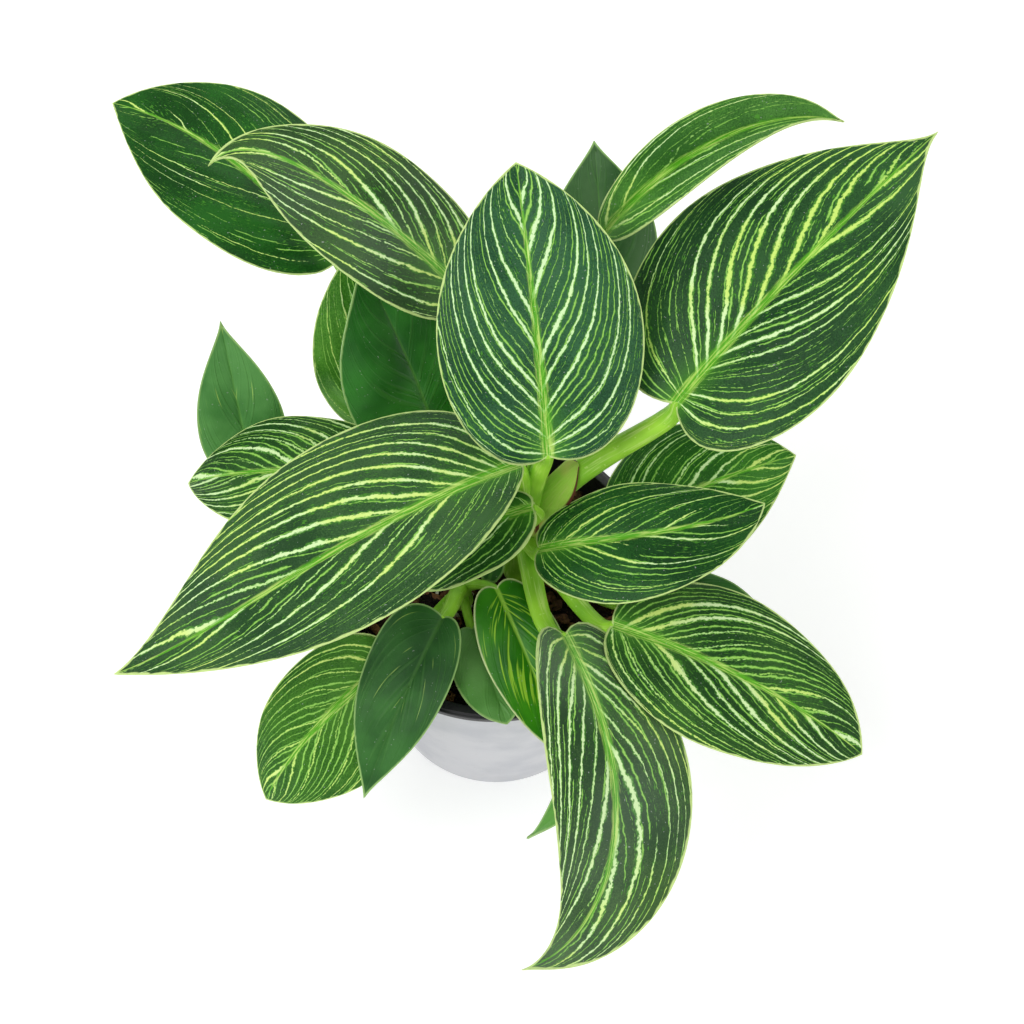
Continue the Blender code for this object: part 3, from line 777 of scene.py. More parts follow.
@dataclass
class Leaf:
    """One blade and the stalk that carries it.

    Angles are degrees. Heading is measured from +X towards +Y, rise is above level at the
    base, arch is how far the midrib has bent down at the tip, swing is its bend to the left,
    roll lifts the right half and twist adds to the roll at the tip. The trims are the shares
    by which the left and the right half are narrowed, near the base and near the tip.
    """

    name: str
    base: Place
    heading: float
    rise: float
    length: float
    width: float
    arch: float = 30.0
    swing: float = 0.0
    swing_power: float = 2.0
    roll: float = 0.0
    twist: float = 0.0
    fold: float = 16.0
    cup: float = 0.3
    lobe: float = 0.16
    belly: float = 0.62
    point: float = 0.3
    skew: float = 0.0
    base_trim: tuple[float, float] = (0.0, 0.0)
    tip_trim: tuple[float, float] = (0.0, 0.0)
    wave: float = 1.5
    waves: float = 1.5
    phase: float = 0.0
    curl: float = 0.0
    stem: str = "main_stem"
    stalk_from: float = 112.0
    stalk_radius: float = 3.0
    stalk_lift: float = 0.45
    stalk_bow: float = 0.0
    approach: float = 0.6
    kind: BladeKind = BladeKind.STRIPED
    look: dict = field(default_factory=dict)

    columns: int = 64
    rows: int = 18
    thickness: float = 0.6
    rib_thickness: float = 1.7
    pleat: float = 0.22
    pleat_width: float = 6.5
    groove: float = 0.5

    VEIN_CROWDING = 4.6
    VEIN_SPREAD = 0.1
    VEIN_REACH = 0.42
    VEIN_SIDE = 0.58
    MARGIN_BASE_FULLNESS = 0.92
    MARGIN_TIP_FULLNESS = 1.68
    POINT_POWER = 6
    CURL_POWER = 5
    RIPPLE_OFFSET = 0.31
    SAMPLES = 160
    SWEEP = 0.46
    SWEEP_POWER = 2.6
    MERGE = 0.15
    MERGE_WIDTH = 0.11
    MIDWAY = 0.6
    PLAIN_PLEAT = 0.35

    def midrib(self) -> tuple[np.ndarray, ...]:
        """Follow the midrib.

        Returns:
            The share of its length, point, tangent, right-hand side and upper face direction
            at each sample.
        """
        share = np.linspace(0, 1, self.SAMPLES)
        heading = np.radians(self.heading + self.swing * share**self.swing_power)
        rise = np.radians(self.rise - self.arch * share - self.curl * share**self.CURL_POWER)
        roll = np.radians(self.roll + self.twist * share)
        level = np.cos(rise)
        ahead = np.stack([level * np.cos(heading), level * np.sin(heading), np.sin(rise)], 1)
        right = np.stack([np.sin(heading), -np.cos(heading), np.zeros_like(heading)], 1)
        up = np.cross(right, ahead)
        side = right * np.cos(roll)[:, None] + up * np.sin(roll)[:, None]
        face = up * np.cos(roll)[:, None] - right * np.sin(roll)[:, None]
        travel = np.cumsum((ahead[1:] + ahead[:-1]) / 2, 0) * self.length / (self.SAMPLES - 1)
        point = np.vstack([np.zeros(3), travel]) + np.array(self.base, float)
        return share, point, ahead, side, face

    def flat(self, along: np.ndarray, out: np.ndarray,
             hand: np.ndarray | float = 1.0) -> tuple[np.ndarray, np.ndarray]:
        """Place points on the outline's own plane.

        Args:
            along: Which side vein, from 0 at the base to 1 at the tip.
            out: Share of the way along that vein from the midrib.
            hand: Positive on the right half, negative on the left one.

        Returns:
            Shares of the length and of the half width.
        """
        rest = 1 - along
        margin_x = -3 * rest**2 * along * self.lobe + 3 * rest * along**2 * self.belly + along**3
        margin_y = 3 * rest**2 * along * self.MARGIN_BASE_FULLNESS
        margin_y = margin_y + 3 * rest * along**2 * self.MARGIN_TIP_FULLNESS
        margin_y = margin_y * (1 - self.point * along**self.POINT_POWER)
        base_trim = np.where(np.asarray(hand) < 0, *self.base_trim)
        tip_trim = np.where(np.asarray(hand) < 0, *self.tip_trim)
        margin_y = margin_y * (1 - base_trim * rest**2 - tip_trim * along**2)
        start = self.VEIN_SPREAD * along
        start = start + (1 - self.VEIN_SPREAD) * along**self.VEIN_CROWDING
        bend_x = start + self.VEIN_REACH * (margin_x - start)
        bend_y = self.VEIN_SIDE * margin_y
        flat_x = (1 - out) ** 2 * start + 2 * (1 - out) * out * bend_x + out**2 * margin_x
        flat_y = 2 * (1 - out) * out * bend_y + out**2 * margin_y
        return flat_x, flat_y

    def vein_scale(self) -> tuple[np.ndarray, np.ndarray]:
        """Measure how far apart the side veins lie.

        Returns:
            Vein positions from 0 to 1, and the distance passed at each, in millimetres.
        """
        along = np.linspace(0, 1, 400)
        flat_x, flat_y = self.flat(along, np.full_like(along, self.MIDWAY))
        track = np.stack([flat_x * self.length, flat_y * self.width / 2], 1)
        steps = np.linalg.norm(np.diff(track, axis=0), axis=1)
        return along, np.concatenate([[0], np.cumsum(steps)])

    def swept(self, out: np.ndarray | float) -> np.ndarray | float:
        """Give how far a vein has swept to the tip, as a share of the way that it had left."""
        merging = self.MERGE * (1 - np.exp(-np.asarray(out) / self.MERGE_WIDTH))
        return self.SWEEP * np.asarray(out) ** self.SWEEP_POWER + merging

    def vein_gaps(self) -> tuple[np.ndarray, np.ndarray]:
        """Measure how far apart the swept veins lie, square to them.

        Returns:
            Vein positions from 0 to 1, and the distance passed at each, in millimetres.
        """
        spot = np.linspace(0, 1, 400)
        beyond = self.MIDWAY + 0.02
        left = (1 - self.swept(beyond)) / (1 - self.swept(self.MIDWAY))
        scale = np.array([self.length, self.width / 2])
        here = np.stack(self.flat(spot, np.full_like(spot, self.MIDWAY)), 1) * scale
        there = np.stack(self.flat(1 - (1 - spot) * left, np.full_like(spot, beyond)), 1) * scale
        ahead = (there - here)[:-1]
        ahead = ahead / np.maximum(np.linalg.norm(ahead, axis=1), 1e-9)[:, None]
        steps = np.diff(here, axis=0)
        square = np.abs(steps[:, 0] * ahead[:, 1] - steps[:, 1] * ahead[:, 0])
        return spot, np.concatenate([[0], np.cumsum(square)])

    def spread(self, along: np.ndarray, out: np.ndarray) -> np.ndarray:
        """Measure the distance passed across the swept veins, in millimetres."""
        veins, passed = self.vein_gaps()
        spot = 1 - (1 - along) * (1 - self.swept(self.MIDWAY)) / (1 - self.swept(out))
        beyond = np.minimum(spot, 0) * passed[-1]
        return np.interp(spot, veins, passed) + beyond

    def surface(self, along: np.ndarray, across: np.ndarray, between: np.ndarray) -> np.ndarray:
        """Place points of the blade's upper face.

        Args:
            along: Which side vein, from 0 to 1.
            across: Share of the way along it, positive on the right.
            between: Distance passed across the veins, in millimetres.

        Returns:
            Points in millimetres.
        """
        out = np.abs(across)
        hand = np.sign(across)
        flat_x, flat_y = self.flat(along, out, hand)
        half = self.width / 2 * (1 + self.skew * hand)
        share, point, ahead, side, face = self.midrib()
        inside = np.clip(flat_x, 0, 1)
        behind = (flat_x - inside) * self.length

        def at(values: np.ndarray) -> np.ndarray:
            """Read a midrib quantity at each point."""
            return np.stack([np.interp(inside, share, values[:, k]) for k in range(3)], -1)

        ripple = np.sin(math.tau * (self.waves * flat_x + self.phase + self.RIPPLE_OFFSET * hand))
        fold = math.radians(self.fold)
        lift = flat_y * half * math.sin(fold) - self.cup * flat_y**2 * half
        lift = lift + self.wave * flat_y**2 * ripple + self.thickness / 2
        pleats = np.sin(math.tau * between / self.pleat_width) * np.sin(math.pi * out) ** 0.5
        depth = self.pleat if self.kind is BladeKind.STRIPED else self.pleat * self.PLAIN_PLEAT
        lift = lift + depth * pleats * np.clip(flat_y * 3, 0, 1)
        rib_width = 1.6 * (1.1 - inside)
        lift = lift - self.groove * np.exp(-((flat_y * half / rib_width) ** 2)) * (1 - inside)
        places = at(point) + at(ahead) * behind[:, None]
        places = places + at(side) * (hand * flat_y * half * math.cos(fold))[:, None]
        return places + at(face) * lift[:, None]

    def margin_distance(self, flat_x: np.ndarray, flat_y: np.ndarray,
                        hand: np.ndarray) -> np.ndarray:
        """Measure how far each point lies from its half's margin, in millimetres."""
        along = np.linspace(0, 1, 240)
        scale = np.array([self.length, self.width / 2])
        spot = np.stack([flat_x, flat_y], 1) * scale
        nearest = []
        for side in (-1.0, 1.0):
            edge = np.stack(self.flat(along, np.ones_like(along), side), 1) * scale
            nearest.append(np.linalg.norm(spot[:, None, :] - edge[None, :, :], axis=2).min(1))
        return np.where(hand < 0, *nearest)

    def build_blade(self) -> bpy.types.Object:
        """Model the blade and dress it.

        Returns:
            The finished piece.
        """
        piece, share, sideways = Bench.sheet(f"{self.name}_blade", self.columns, 2 * self.rows)
        veins, passed = self.vein_scale()
        along = np.interp(share * passed[-1], passed, veins)
        across = -np.sign(sideways) * np.abs(sideways) ** 1.5
        out = np.abs(across)
        between = self.spread(along, out)
        hand = np.sign(across)
        flat_x, flat_y = self.flat(along, out, hand)
        Bench.put(piece, self.surface(along, across, between))
        onward = flat_x * self.length + 0.6 * flat_y * self.width / 2
        Bench.unwrap(piece, "Veins", between / 100, onward / 100)
        lateral = hand * flat_y * self.width / 2
        inset = self.margin_distance(flat_x, flat_y, hand)
        Bench.unwrap(piece, "Edge", 0.5 + lateral / 100, inset / 100)
        Bench.unwrap(piece, "Blade", np.clip(flat_x, 0, 1), 0.5 + across / 2)
        rib = piece.vertex_groups.new(name="rib")
        weights = np.exp(-((lateral / 1.5) ** 2)) * np.clip(1 - flat_x, 0, 1) ** 1.2
        for index, weight in enumerate(weights):
            rib.add([index], float(weight), "REPLACE")
        Bench.merge(piece, 0.00003)
        finish = self.finish()
        piece.data.materials.append(finish.upper())
        piece.data.materials.append(finish.under())
        Bench.apply(
            piece, "SOLIDIFY", thickness=self.rib_thickness * MM, offset=-1.0,
            vertex_group="rib", thickness_vertex_group=self.thickness / self.rib_thickness,
            material_offset=1, material_offset_rim=0,
        )
        return Bench.hand_over(piece, self.kind.value, self.name)

    def finish(self) -> StripedFinish | GreenFinish:
        """Choose the blade's finish."""
        seed = float(sum(ord(letter) for letter in self.name) % 97)
        if self.kind is BladeKind.STRIPED:
            return StripedFinish(self.name, seed, **self.look)
        return GreenFinish(self.name, seed, **self.look)

    def stalk_line(self, stem: "Stem") -> tuple[np.ndarray, np.ndarray]:
        """Follow the stalk from inside its stem to the midrib.

        Args:
            stem: The stem that it grows from.

        Returns:
            Points and radii in millimetres.
        """
        _, point, ahead, _, face = self.midrib()
        arrive = self.approach * ahead[0] + face[0]
        arrive = arrive / np.linalg.norm(arrive)
        tip = 0.6 * self.stalk_radius
        end = point[0] - face[0] * (0.5 + 0.7 * tip)
        start = stem.at_height(self.stalk_from)
        span = float(np.linalg.norm(end - start))
        first = start + np.array([0, 0, 1]) * span * self.stalk_lift + (end - start) * 0.15
        last = end - arrive * min(18.0, span * 0.3)
        sideways = np.array([start[1] - end[1], end[0] - start[0], 0.0]) / span
        first = first + sideways * self.stalk_bow
        share = np.linspace(0, 1, 40)[:, None]
        rest = 1 - share
        line = rest**3 * start + 3 * rest**2 * share * first
        line = line + 3 * rest * share**2 * last + share**3 * end
        radii = self.stalk_radius * (1.2 - 0.4 * share[:, 0])
        radii[-8:] = np.linspace(radii[-8], tip * 1.15, 8)
        reach = np.array([1.2, 3.0, 6.0, 10.0])[:, None]
        depth = np.array([1.3, 1.25, 1.0, 0.5])[:, None] * tip
        tail = point[0] + ahead[0] * reach - face[0] * depth
        return np.vstack([line, tail]), np.concatenate([radii, tip * np.array([1.0, 0.8, 0.55, 0.2])])

    def build_stalk(self, stem: "Stem", skin: bpy.types.Material) -> bpy.types.Object:
        """Model the stalk: a rod with a shallow channel along its upper side.

        Args:
            stem: The stem that it grows from.
            skin: Material of the stalks.

        Returns:
            The finished piece.
        """
        line, radii = self.stalk_line(stem)
        piece = Rod(f"{self.name}_stalk", line, radii, channel=0.16).build()
        piece.data.materials.append(skin)
        return Bench.hand_over(piece, "stem")


@dataclass
class Rod:
    """A tapering rod along a line, with a closed rounded skin."""

    name: str
    line: np.ndarray
    radii: np.ndarray
    channel: float = 0.0
    sides: int = 24

    def frames(self) -> tuple[np.ndarray, np.ndarray]:
        """Give two directions square to the line at each of its points, without twist."""
        ahead = np.gradient(self.line, axis=0)
        ahead = ahead / np.linalg.norm(ahead, axis=1)[:, None]
        start = np.array([0.0, 0.0, 1.0])
        if abs(ahead[0] @ start) > 0.9:
            start = self.line[-1] - self.line[0]
            start = start * (1, 1, 0) + (0.001, 0, 0)
        side = [start - ahead[0] * (start @ ahead[0])]
        for tangent in ahead[1:]:
            side.append(side[-1] - tangent * (side[-1] @ tangent))
        side = np.array([value / np.linalg.norm(value) for value in side])
        return side, np.cross(ahead, side)

    def build(self) -> bpy.types.Object:
        """Model the rod.

        Returns:
            The piece, without a material.
        """
        piece, along, around = Bench.sheet(self.name, len(self.line) - 1, self.sides)
        spot = along * (len(self.line) - 1)
        steps = np.arange(len(self.line))
        first, second = self.frames()

        def at(values: np.ndarray) -> np.ndarray:
            """Read a quantity of the line at each vertex."""
            return np.stack([np.interp(spot, steps, values[:, k]) for k in range(3)], -1)

        angle = np.pi * around
        radius = np.interp(spot, steps, self.radii)
        radius = radius * (1 - self.channel * np.exp(-((angle / 0.55) ** 2)))
        ring = at(first) * np.cos(angle)[:, None] + at(second) * np.sin(angle)[:, None]
        Bench.put(piece, at(self.line) + ring * radius[:, None])
        lengths = np.linalg.norm(np.diff(self.line, axis=0), axis=1)
        travel = np.concatenate([[0], np.cumsum(lengths)])
        Bench.unwrap(piece, "Grain", np.interp(spot, steps, travel) / 100, (around + 1) / 2)
        Bench.merge(piece, 0.00002, close=True)
        return piece


@dataclass
class Stem:
    """A short stem with rings where older leaves were."""

    name: str
    foot: Place
    top: Place
    radius: float
    taper: float = 0.25
    rings: int = 6
    ring_depth: float = 0.5

    def at_height(self, height: float) -> np.ndarray:
        """Give the point of its axis at a height."""
        foot = np.array(self.foot, float)
        top = np.array(self.top, float)
        return foot + (top - foot) * (height - foot[2]) / (top[2] - foot[2])

    def build(self, skin: bpy.types.Material) -> bpy.types.Object:
        """Model the stem.

        Args:
            skin: Its material.

        Returns:
            The finished piece.
        """
        share = np.linspace(0, 1, 60)
        foot = np.array(self.foot, float)
        top = np.array(self.top, float)
        line = foot + (top - foot) * share[:, None]
        radii = self.radius * (1 - self.taper * share**2)
        radii = radii + self.ring_depth * np.abs(np.cos(math.pi * self.rings * share)) ** 12
        radii[-4:] = radii[-4:] * np.array([0.96, 0.85, 0.6, 0.25])
        piece = Rod(f"{self.name}_core", line, radii).build()
        piece.data.materials.append(skin)
        return Bench.hand_over(piece, "stem", self.name)


@dataclass
class Sheath:
    """An open sheath that clasps the foot of a stalk."""

    name: str
    leaf: str
    start: float = 0.1
    end: float = 0.5
    turn: float = 0.0
    wrap: float = 230.0
    spare: float = 0.7
    flare: float = 0.5
    dryness: float = 0.3
    columns: int = 40
    rows: int = 24
    thickness: float = 0.35

    def build(self, leaf: Leaf, stem: Stem) -> bpy.types.Object:
        """Model the sheath.

        Args:
            leaf: The leaf whose stalk it clasps.
            stem: The stem that it grows from.

        Returns:
            The finished piece.
        """
        line, radii = leaf.stalk_line(stem)
        rod = Rod(self.name, line, radii)
        first, second = rod.frames()
        piece, along, around = Bench.sheet(self.name, self.columns, self.rows)
        spot = (self.start + (self.end - self.start) * along) * (len(line) - 1)
        steps = np.arange(len(line))

        def at(values: np.ndarray) -> np.ndarray:
            """Read a quantity of the stalk at each vertex."""
            return np.stack([np.interp(spot, steps, values[:, k]) for k in range(3)], -1)

        narrow = np.clip(1 - along**3, 0.02, 1) ** 0.6
        angle = np.radians(self.turn) + np.radians(self.wrap / 2) * around * narrow
        open_up = self.flare * np.abs(around) ** 2.5 * leaf.stalk_radius * narrow
        radius = np.interp(spot, steps, radii) + self.spare + open_up
        ring = at(first) * np.cos(angle)[:, None] + at(second) * np.sin(angle)[:, None]
        Bench.put(piece, at(line) + ring * radius[:, None])
        Bench.unwrap(piece, "Grain", along, (around + 1) / 2)
        Bench.apply(piece, "SOLIDIFY", thickness=self.thickness * MM, offset=0.0)
        piece.data.materials.append(SheathFinish(self.name, dryness=self.dryness).build())
        return Bench.hand_over(piece, "stem")


@dataclass
class Pots:
    """The cover pot and the nursery pot, turned from their profiles."""

    height: float = 108.0
    lip_radius: float = 60.0
    lip_height: float = 3.2
    gap: float = 0.3
    nursery_wall: float = 1.4
    nursery_floor_radius: float = 39.0
    nursery_floor_level: float = 3.4
    nursery_floor: float = 2.0
    cover_radius: float = 58.8
    cover_base_radius: float = 44.5
    cover_wall: float = 1.9
    cover_floor: float = 3.0
    foot_round: float = 2.0
    steps: int = 144

    @property
    def cover_top(self) -> float:
        """Give the height of the cover pot's rim."""
        return self.height - self.lip_height - self.gap

    def nursery_radius(self, height: float) -> float:
        """Give the nursery pot's outer radius at a height."""
        top = self.cover_radius - self.cover_wall - self.gap
        share = (height - self.nursery_floor_level) / (self.cover_top - self.nursery_floor_level)
        return self.nursery_floor_radius + (top - self.nursery_floor_radius) * share

    def turned(self, name: str, profile: Sequence[tuple[float, float]]) -> bpy.types.Object:
        """Spin a profile about Z.

        Args:
            name: Name of the piece.
            profile: Radius and height of each point, in millimetres.

        Returns:
            The turned piece.
        """
        Bench.deselect()
        bpy.ops.mesh.primitive_plane_add(size=1)
        piece = Bench.named(name)
        bpy.ops.object.mode_set(mode="EDIT")
        bpy.ops.mesh.select_all(action="SELECT")
        bpy.ops.mesh.merge(type="CENTER")
        start, *rest = [Vector((radius, 0, level)) * MM for radius, level in profile]
        bpy.ops.transform.translate(value=start)
        last = start
        for point in rest:
            bpy.ops.mesh.extrude_vertices_move(TRANSFORM_OT_translate={"value": point - last})
            last = point
        bpy.ops.mesh.select_all(action="SELECT")
        bpy.ops.mesh.spin(steps=self.steps, angle=math.tau, center=(0, 0, 0), axis=(0, 0, 1))
        bpy.ops.mesh.select_all(action="SELECT")
        bpy.ops.mesh.remove_doubles(threshold=0.00001)
        bpy.ops.mesh.normals_make_consistent(inside=False)
        bpy.ops.object.mode_set(mode="OBJECT")
        return piece

    def rounded(self, points: Sequence[tuple[float, float, float]]) -> list[tuple[float, float]]:
        """Round the corners of a profile.

        Args:
            points: Radius, height and rounding of each corner.

        Returns:
            The rounded profile.
        """
        made = [(points[0][0], points[0][1])]
        for before, corner, after in zip(points, points[1:], points[2:]):
            spot = np.array(corner[:2])
            back = np.array(before[:2]) - spot
            onward = np.array(after[:2]) - spot
            cut = corner[2]
            first = spot + back / np.linalg.norm(back) * cut
            last = spot + onward / np.linalg.norm(onward) * cut
            for share in np.linspace(0, 1, 6) if cut else (0.0,):
                rest = 1 - share
                point = rest**2 * first + 2 * rest * share * spot + share**2 * last
                made.append((float(point[0]), float(point[1])))
        made.append((points[-1][0], points[-1][1]))
        return made

    def build_cover(self) -> bpy.types.Object:
        """Model the cover pot."""
        base = self.cover_base_radius
        top = self.cover_top
        taper = (self.cover_radius - base) / top
        inner = base + taper * self.cover_floor - self.cover_wall
        profile = self.rounded((
            (0, self.cover_floor, 0),
            (inner, self.cover_floor, 1.5),
            (self.cover_radius - self.cover_wall, top, 0.5),
            (self.cover_radius, top, 0.6),
            (base, 0, self.foot_round),
            (0, 0, 0),
        ))
        piece = self.turned("cover_pot_shell", profile)
        piece.data.materials.append(CoverPotFinish().build())
        return Bench.hand_over(piece, "cover_pot", "cover_pot")

    def build_nursery(self) -> bpy.types.Object:
        """Model the nursery pot with its rolled lip."""
        wall = self.nursery_wall
        floor = self.nursery_floor_level + self.nursery_floor
        lip_foot = self.cover_top + self.gap
        mouth = self.nursery_radius(lip_foot) - wall
        ledge = self.height - 1.1
        profile = self.rounded((
            (0, floor, 0),
            (self.nursery_radius(floor) - wall, floor, 1.0),
            (mouth, lip_foot, 0.4),
            (mouth + 0.1, self.height, 0.5),
            (self.lip_radius - 1.3, self.height, 0.3),
            (self.lip_radius - 1.0, ledge + 0.6, 0.2),
            (self.lip_radius, ledge + 0.5, 0.4),
            (self.lip_radius, lip_foot, 0.3),
            (self.nursery_radius(lip_foot), lip_foot, 0.2),
            (self.nursery_floor_radius, self.nursery_floor_level, 0.8),
            (0, self.nursery_floor_level, 0),
        ))
        piece = self.turned("nursery_pot_shell", profile)
        piece.data.materials.append(NurseryPotFinish().build())
        return Bench.hand_over(piece, "nursery_pot", "nursery_pot")


@dataclass
class PottingMix:
    """The soil's crumbly surface with bark, grit and crumbs on it."""

    level: float = 95.0
    mound: float = 3.0
    lump: float = 1.6
    floor: float = 5.7
    steps: int = 96
    chips: int = 260
    grits: int = 90
    crumbs: int = 700
    seed: int = 7

    def height(self, x: float, y: float) -> float:
        """Give the surface's height at a place, in millimetres."""
        reach = min(1.0, math.hypot(x, y) / self.edge)
        rise = self.level + self.mound * math.cos(reach * math.pi / 2)
        coarse = noise.noise(Vector((x / 7, y / 7, 0)))
        fine = noise.noise(Vector((x / 2.2, y / 2.2, 3.0)))
        return rise + self.lump * coarse + 0.7 * fine

    @property
    def edge(self) -> float:
        """Give the surface's outer radius, just inside the nursery pot."""
        pots = Pots()
        return pots.nursery_radius(self.level - 2) - pots.nursery_wall - pots.gap

    def build_body(self) -> bpy.types.Object:
        """Model the filled body with its lumpy top.

        Returns:
            The finished piece.
        """
        piece, share, sideways = Bench.sheet("potting_mix_body", self.steps, self.steps)
        across = share * 2 - 1
        spin_x = across * np.sqrt(1 - sideways**2 / 2) * self.edge
        spin_y = sideways * np.sqrt(1 - across**2 / 2) * self.edge
        heights = np.array([self.height(x, y) for x, y in zip(spin_x, spin_y)])
        Bench.put(piece, np.stack([spin_x, spin_y, heights], 1))
        Bench.pick(piece)
        bpy.ops.object.mode_set(mode="EDIT")
        bpy.ops.mesh.select_all(action="DESELECT")
        bpy.ops.mesh.select_mode(type="EDGE")
        bpy.ops.mesh.select_non_manifold(extend=False)
        bpy.ops.mesh.extrude_edges_move(TRANSFORM_OT_translate={"value": (0, 0, -0.08)})
        bpy.ops.transform.resize(value=(0.75, 0.75, 0), center_override=(0, 0, self.floor * MM))
        bpy.ops.mesh.edge_face_add()
        bpy.ops.mesh.select_all(action="SELECT")
        bpy.ops.mesh.normals_make_consistent(inside=False)
        bpy.ops.object.mode_set(mode="OBJECT")
        piece.data.materials.append(SoilFinish().build())
        return Bench.hand_over(piece, "soil", "soil")

    def pebble(self, name: str, size: Vector, chance: random.Random) -> np.ndarray:
        """Model one irregular lump by hand and read its shape.

        Args:
            name: Working name.
            size: Half sizes in millimetres.
            chance: Source of chance.

        Returns:
            The piece, kept for its mesh.
        """
        Bench.deselect()
        bpy.ops.mesh.primitive_cube_add(size=2)
        piece = Bench.named(name)
        bpy.ops.object.mode_set(mode="EDIT")
        bpy.ops.mesh.select_all(action="SELECT")
        bpy.ops.mesh.bevel(offset=0.45, segments=1, affect="EDGES")
        bpy.ops.object.mode_set(mode="OBJECT")
        for vertex in piece.data.vertices:
            shake = Vector([chance.uniform(-0.22, 0.22) for _ in range(3)])
            point = vertex.co + shake
            vertex.co = Vector((point.x * size.x, point.y * size.y, point.z * size.z)) * MM
        return piece

    def scatter(self, name: str, count: int, sizes: tuple[Vector, ...], slot_finish: object,
                spread: tuple[float, float], sink: float) -> bpy.types.Object:
        """Lay copies of a few lumps over the surface and join them.

        Args:
            name: Name of the joined piece.
            count: How many copies.
            sizes: Half sizes of each model lump, in millimetres.
            slot_finish: Finish of the lumps.
            spread: Smallest and largest scale.
            sink: Share of a lump that is buried.

        Returns:
            The finished piece.
        """
        chance = random.Random(f"{name}{self.seed}")
        models = [self.pebble(f"{name}_{k}", size, chance) for k, size in enumerate(sizes)]
        verts: list[tuple] = []
        faces: list[tuple] = []
        for _ in range(count):
            model = chance.choice(models)
            reach = (self.edge - 3.0) * math.sqrt(chance.random())
            bearing = chance.uniform(0, math.tau)
            x = reach * math.cos(bearing)
            y = reach * math.sin(bearing)
            lean = Euler((chance.gauss(0, 0.35), chance.gauss(0, 0.35), chance.uniform(0, math.tau)))
            turn = lean.to_matrix() * chance.uniform(*spread)
            thick = max(vertex.co.z for vertex in model.data.vertices) / MM
            spot = Vector((x, y, self.height(x, y) + thick * (1 - 2 * sink))) * MM
            first = len(verts)
            verts.extend(tuple(turn @ vertex.co + spot) for vertex in model.data.vertices)
            faces.extend(tuple(first + k for k in face.vertices) for face in model.data.polygons)
        mesh = bpy.data.meshes.new(name)
        mesh.from_pydata(verts, [], faces)
        for model in models:
            bpy.data.objects.remove(model, do_unlink=True)
        piece = bpy.data.objects.new(name, mesh)
        bpy.context.scene.collection.objects.link(piece)
        piece.data.materials.append(slot_finish.build())
        return Bench.hand_over(piece, "soil")

    def build(self) -> None:
        """Model the soil and all that lies on it."""
        self.build_body()
        chips = (Vector((5.0, 2.6, 0.9)), Vector((3.6, 2.2, 1.1)), Vector((6.5, 1.6, 0.8)),
                 Vector((2.6, 2.2, 1.3)))
        self.scatter("bark_chips", self.chips, chips, BarkFinish(), (0.45, 1.05), 0.3)
        grits = (Vector((1.1, 0.9, 0.8)), Vector((0.8, 0.8, 0.6)))
        self.scatter("pale_grit", self.grits, grits, GritFinish(), (0.5, 1.1), 0.2)
        crumbs = (Vector((1.2, 1.0, 0.8)), Vector((1.6, 0.8, 0.6)))
        self.scatter("soil_crumbs", self.crumbs, crumbs, SoilFinish("soil_crumb"), (0.4, 1.2), 0.2)


@dataclass
class Studio:
    """Floor, lights and camera."""

    elevation: float = 62.0
    lens: float = 70.3
    camera_place: Place = (6.75, -332.9, 780.4)
    floor_size: float = 6.0

    def lamp(self, name: str, place: Place, aim: Place, size: float, power: float) -> None:
        """Add a soft square light.

        Args:
            name: Its name.
            place: Where it hangs, in metres.
            aim: The point that it faces, in metres.
            size: Side of the square, in metres.
            power: Power in watts.
        """
        data = bpy.data.lights.new(name, "AREA")
        data.size = size
        data.energy = power
        light = bpy.data.objects.new(name, data)
        light.location = place
        direction = Vector(aim) - Vector(place)
        light.rotation_euler = direction.to_track_quat("-Z", "Y").to_euler()
        bpy.context.scene.collection.objects.link(light)

    def build(self) -> None:
        """Set up the studio."""
        Bench.deselect()
        bpy.ops.mesh.primitive_plane_add(size=self.floor_size)
        floor = Bench.named("studio_floor")
        floor.data.materials.append(FloorFinish().build())
        floor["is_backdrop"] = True
        world = bpy.data.worlds.new("studio")
        world.use_nodes = True
        world.node_tree.nodes["Background"].inputs[0].default_value = (1.0, 1.0, 1.0, 1.0)
        world.node_tree.nodes["Background"].inputs[1].default_value = 0.56
        bpy.context.scene.world = world
        self.lamp("key", (-0.9, -0.5, 1.5), (0, 0, 0.12), 1.1, 15)
        self.lamp("fill", (1.2, -0.9, 1.0), (0, 0, 0.12), 1.2, 5)
        self.lamp("back", (0.3, 1.3, 1.2), (0, 0, 0.15), 1.0, 6)
        data = bpy.data.cameras.new("camera")
        data.lens = self.lens
        data.sensor_width = 36.0
        camera = bpy.data.objects.new("camera", data)
        camera.location = Vector(self.camera_place) * MM
        camera.rotation_euler = (math.radians(90 - self.elevation), 0, 0)
        bpy.context.scene.collection.objects.link(camera)
        bpy.context.scene.camera = camera
        bpy.context.scene.view_settings.view_transform = "Standard"


PLAIN = BladeKind.PLAIN
BRIGHT = BladeKind.BRIGHT


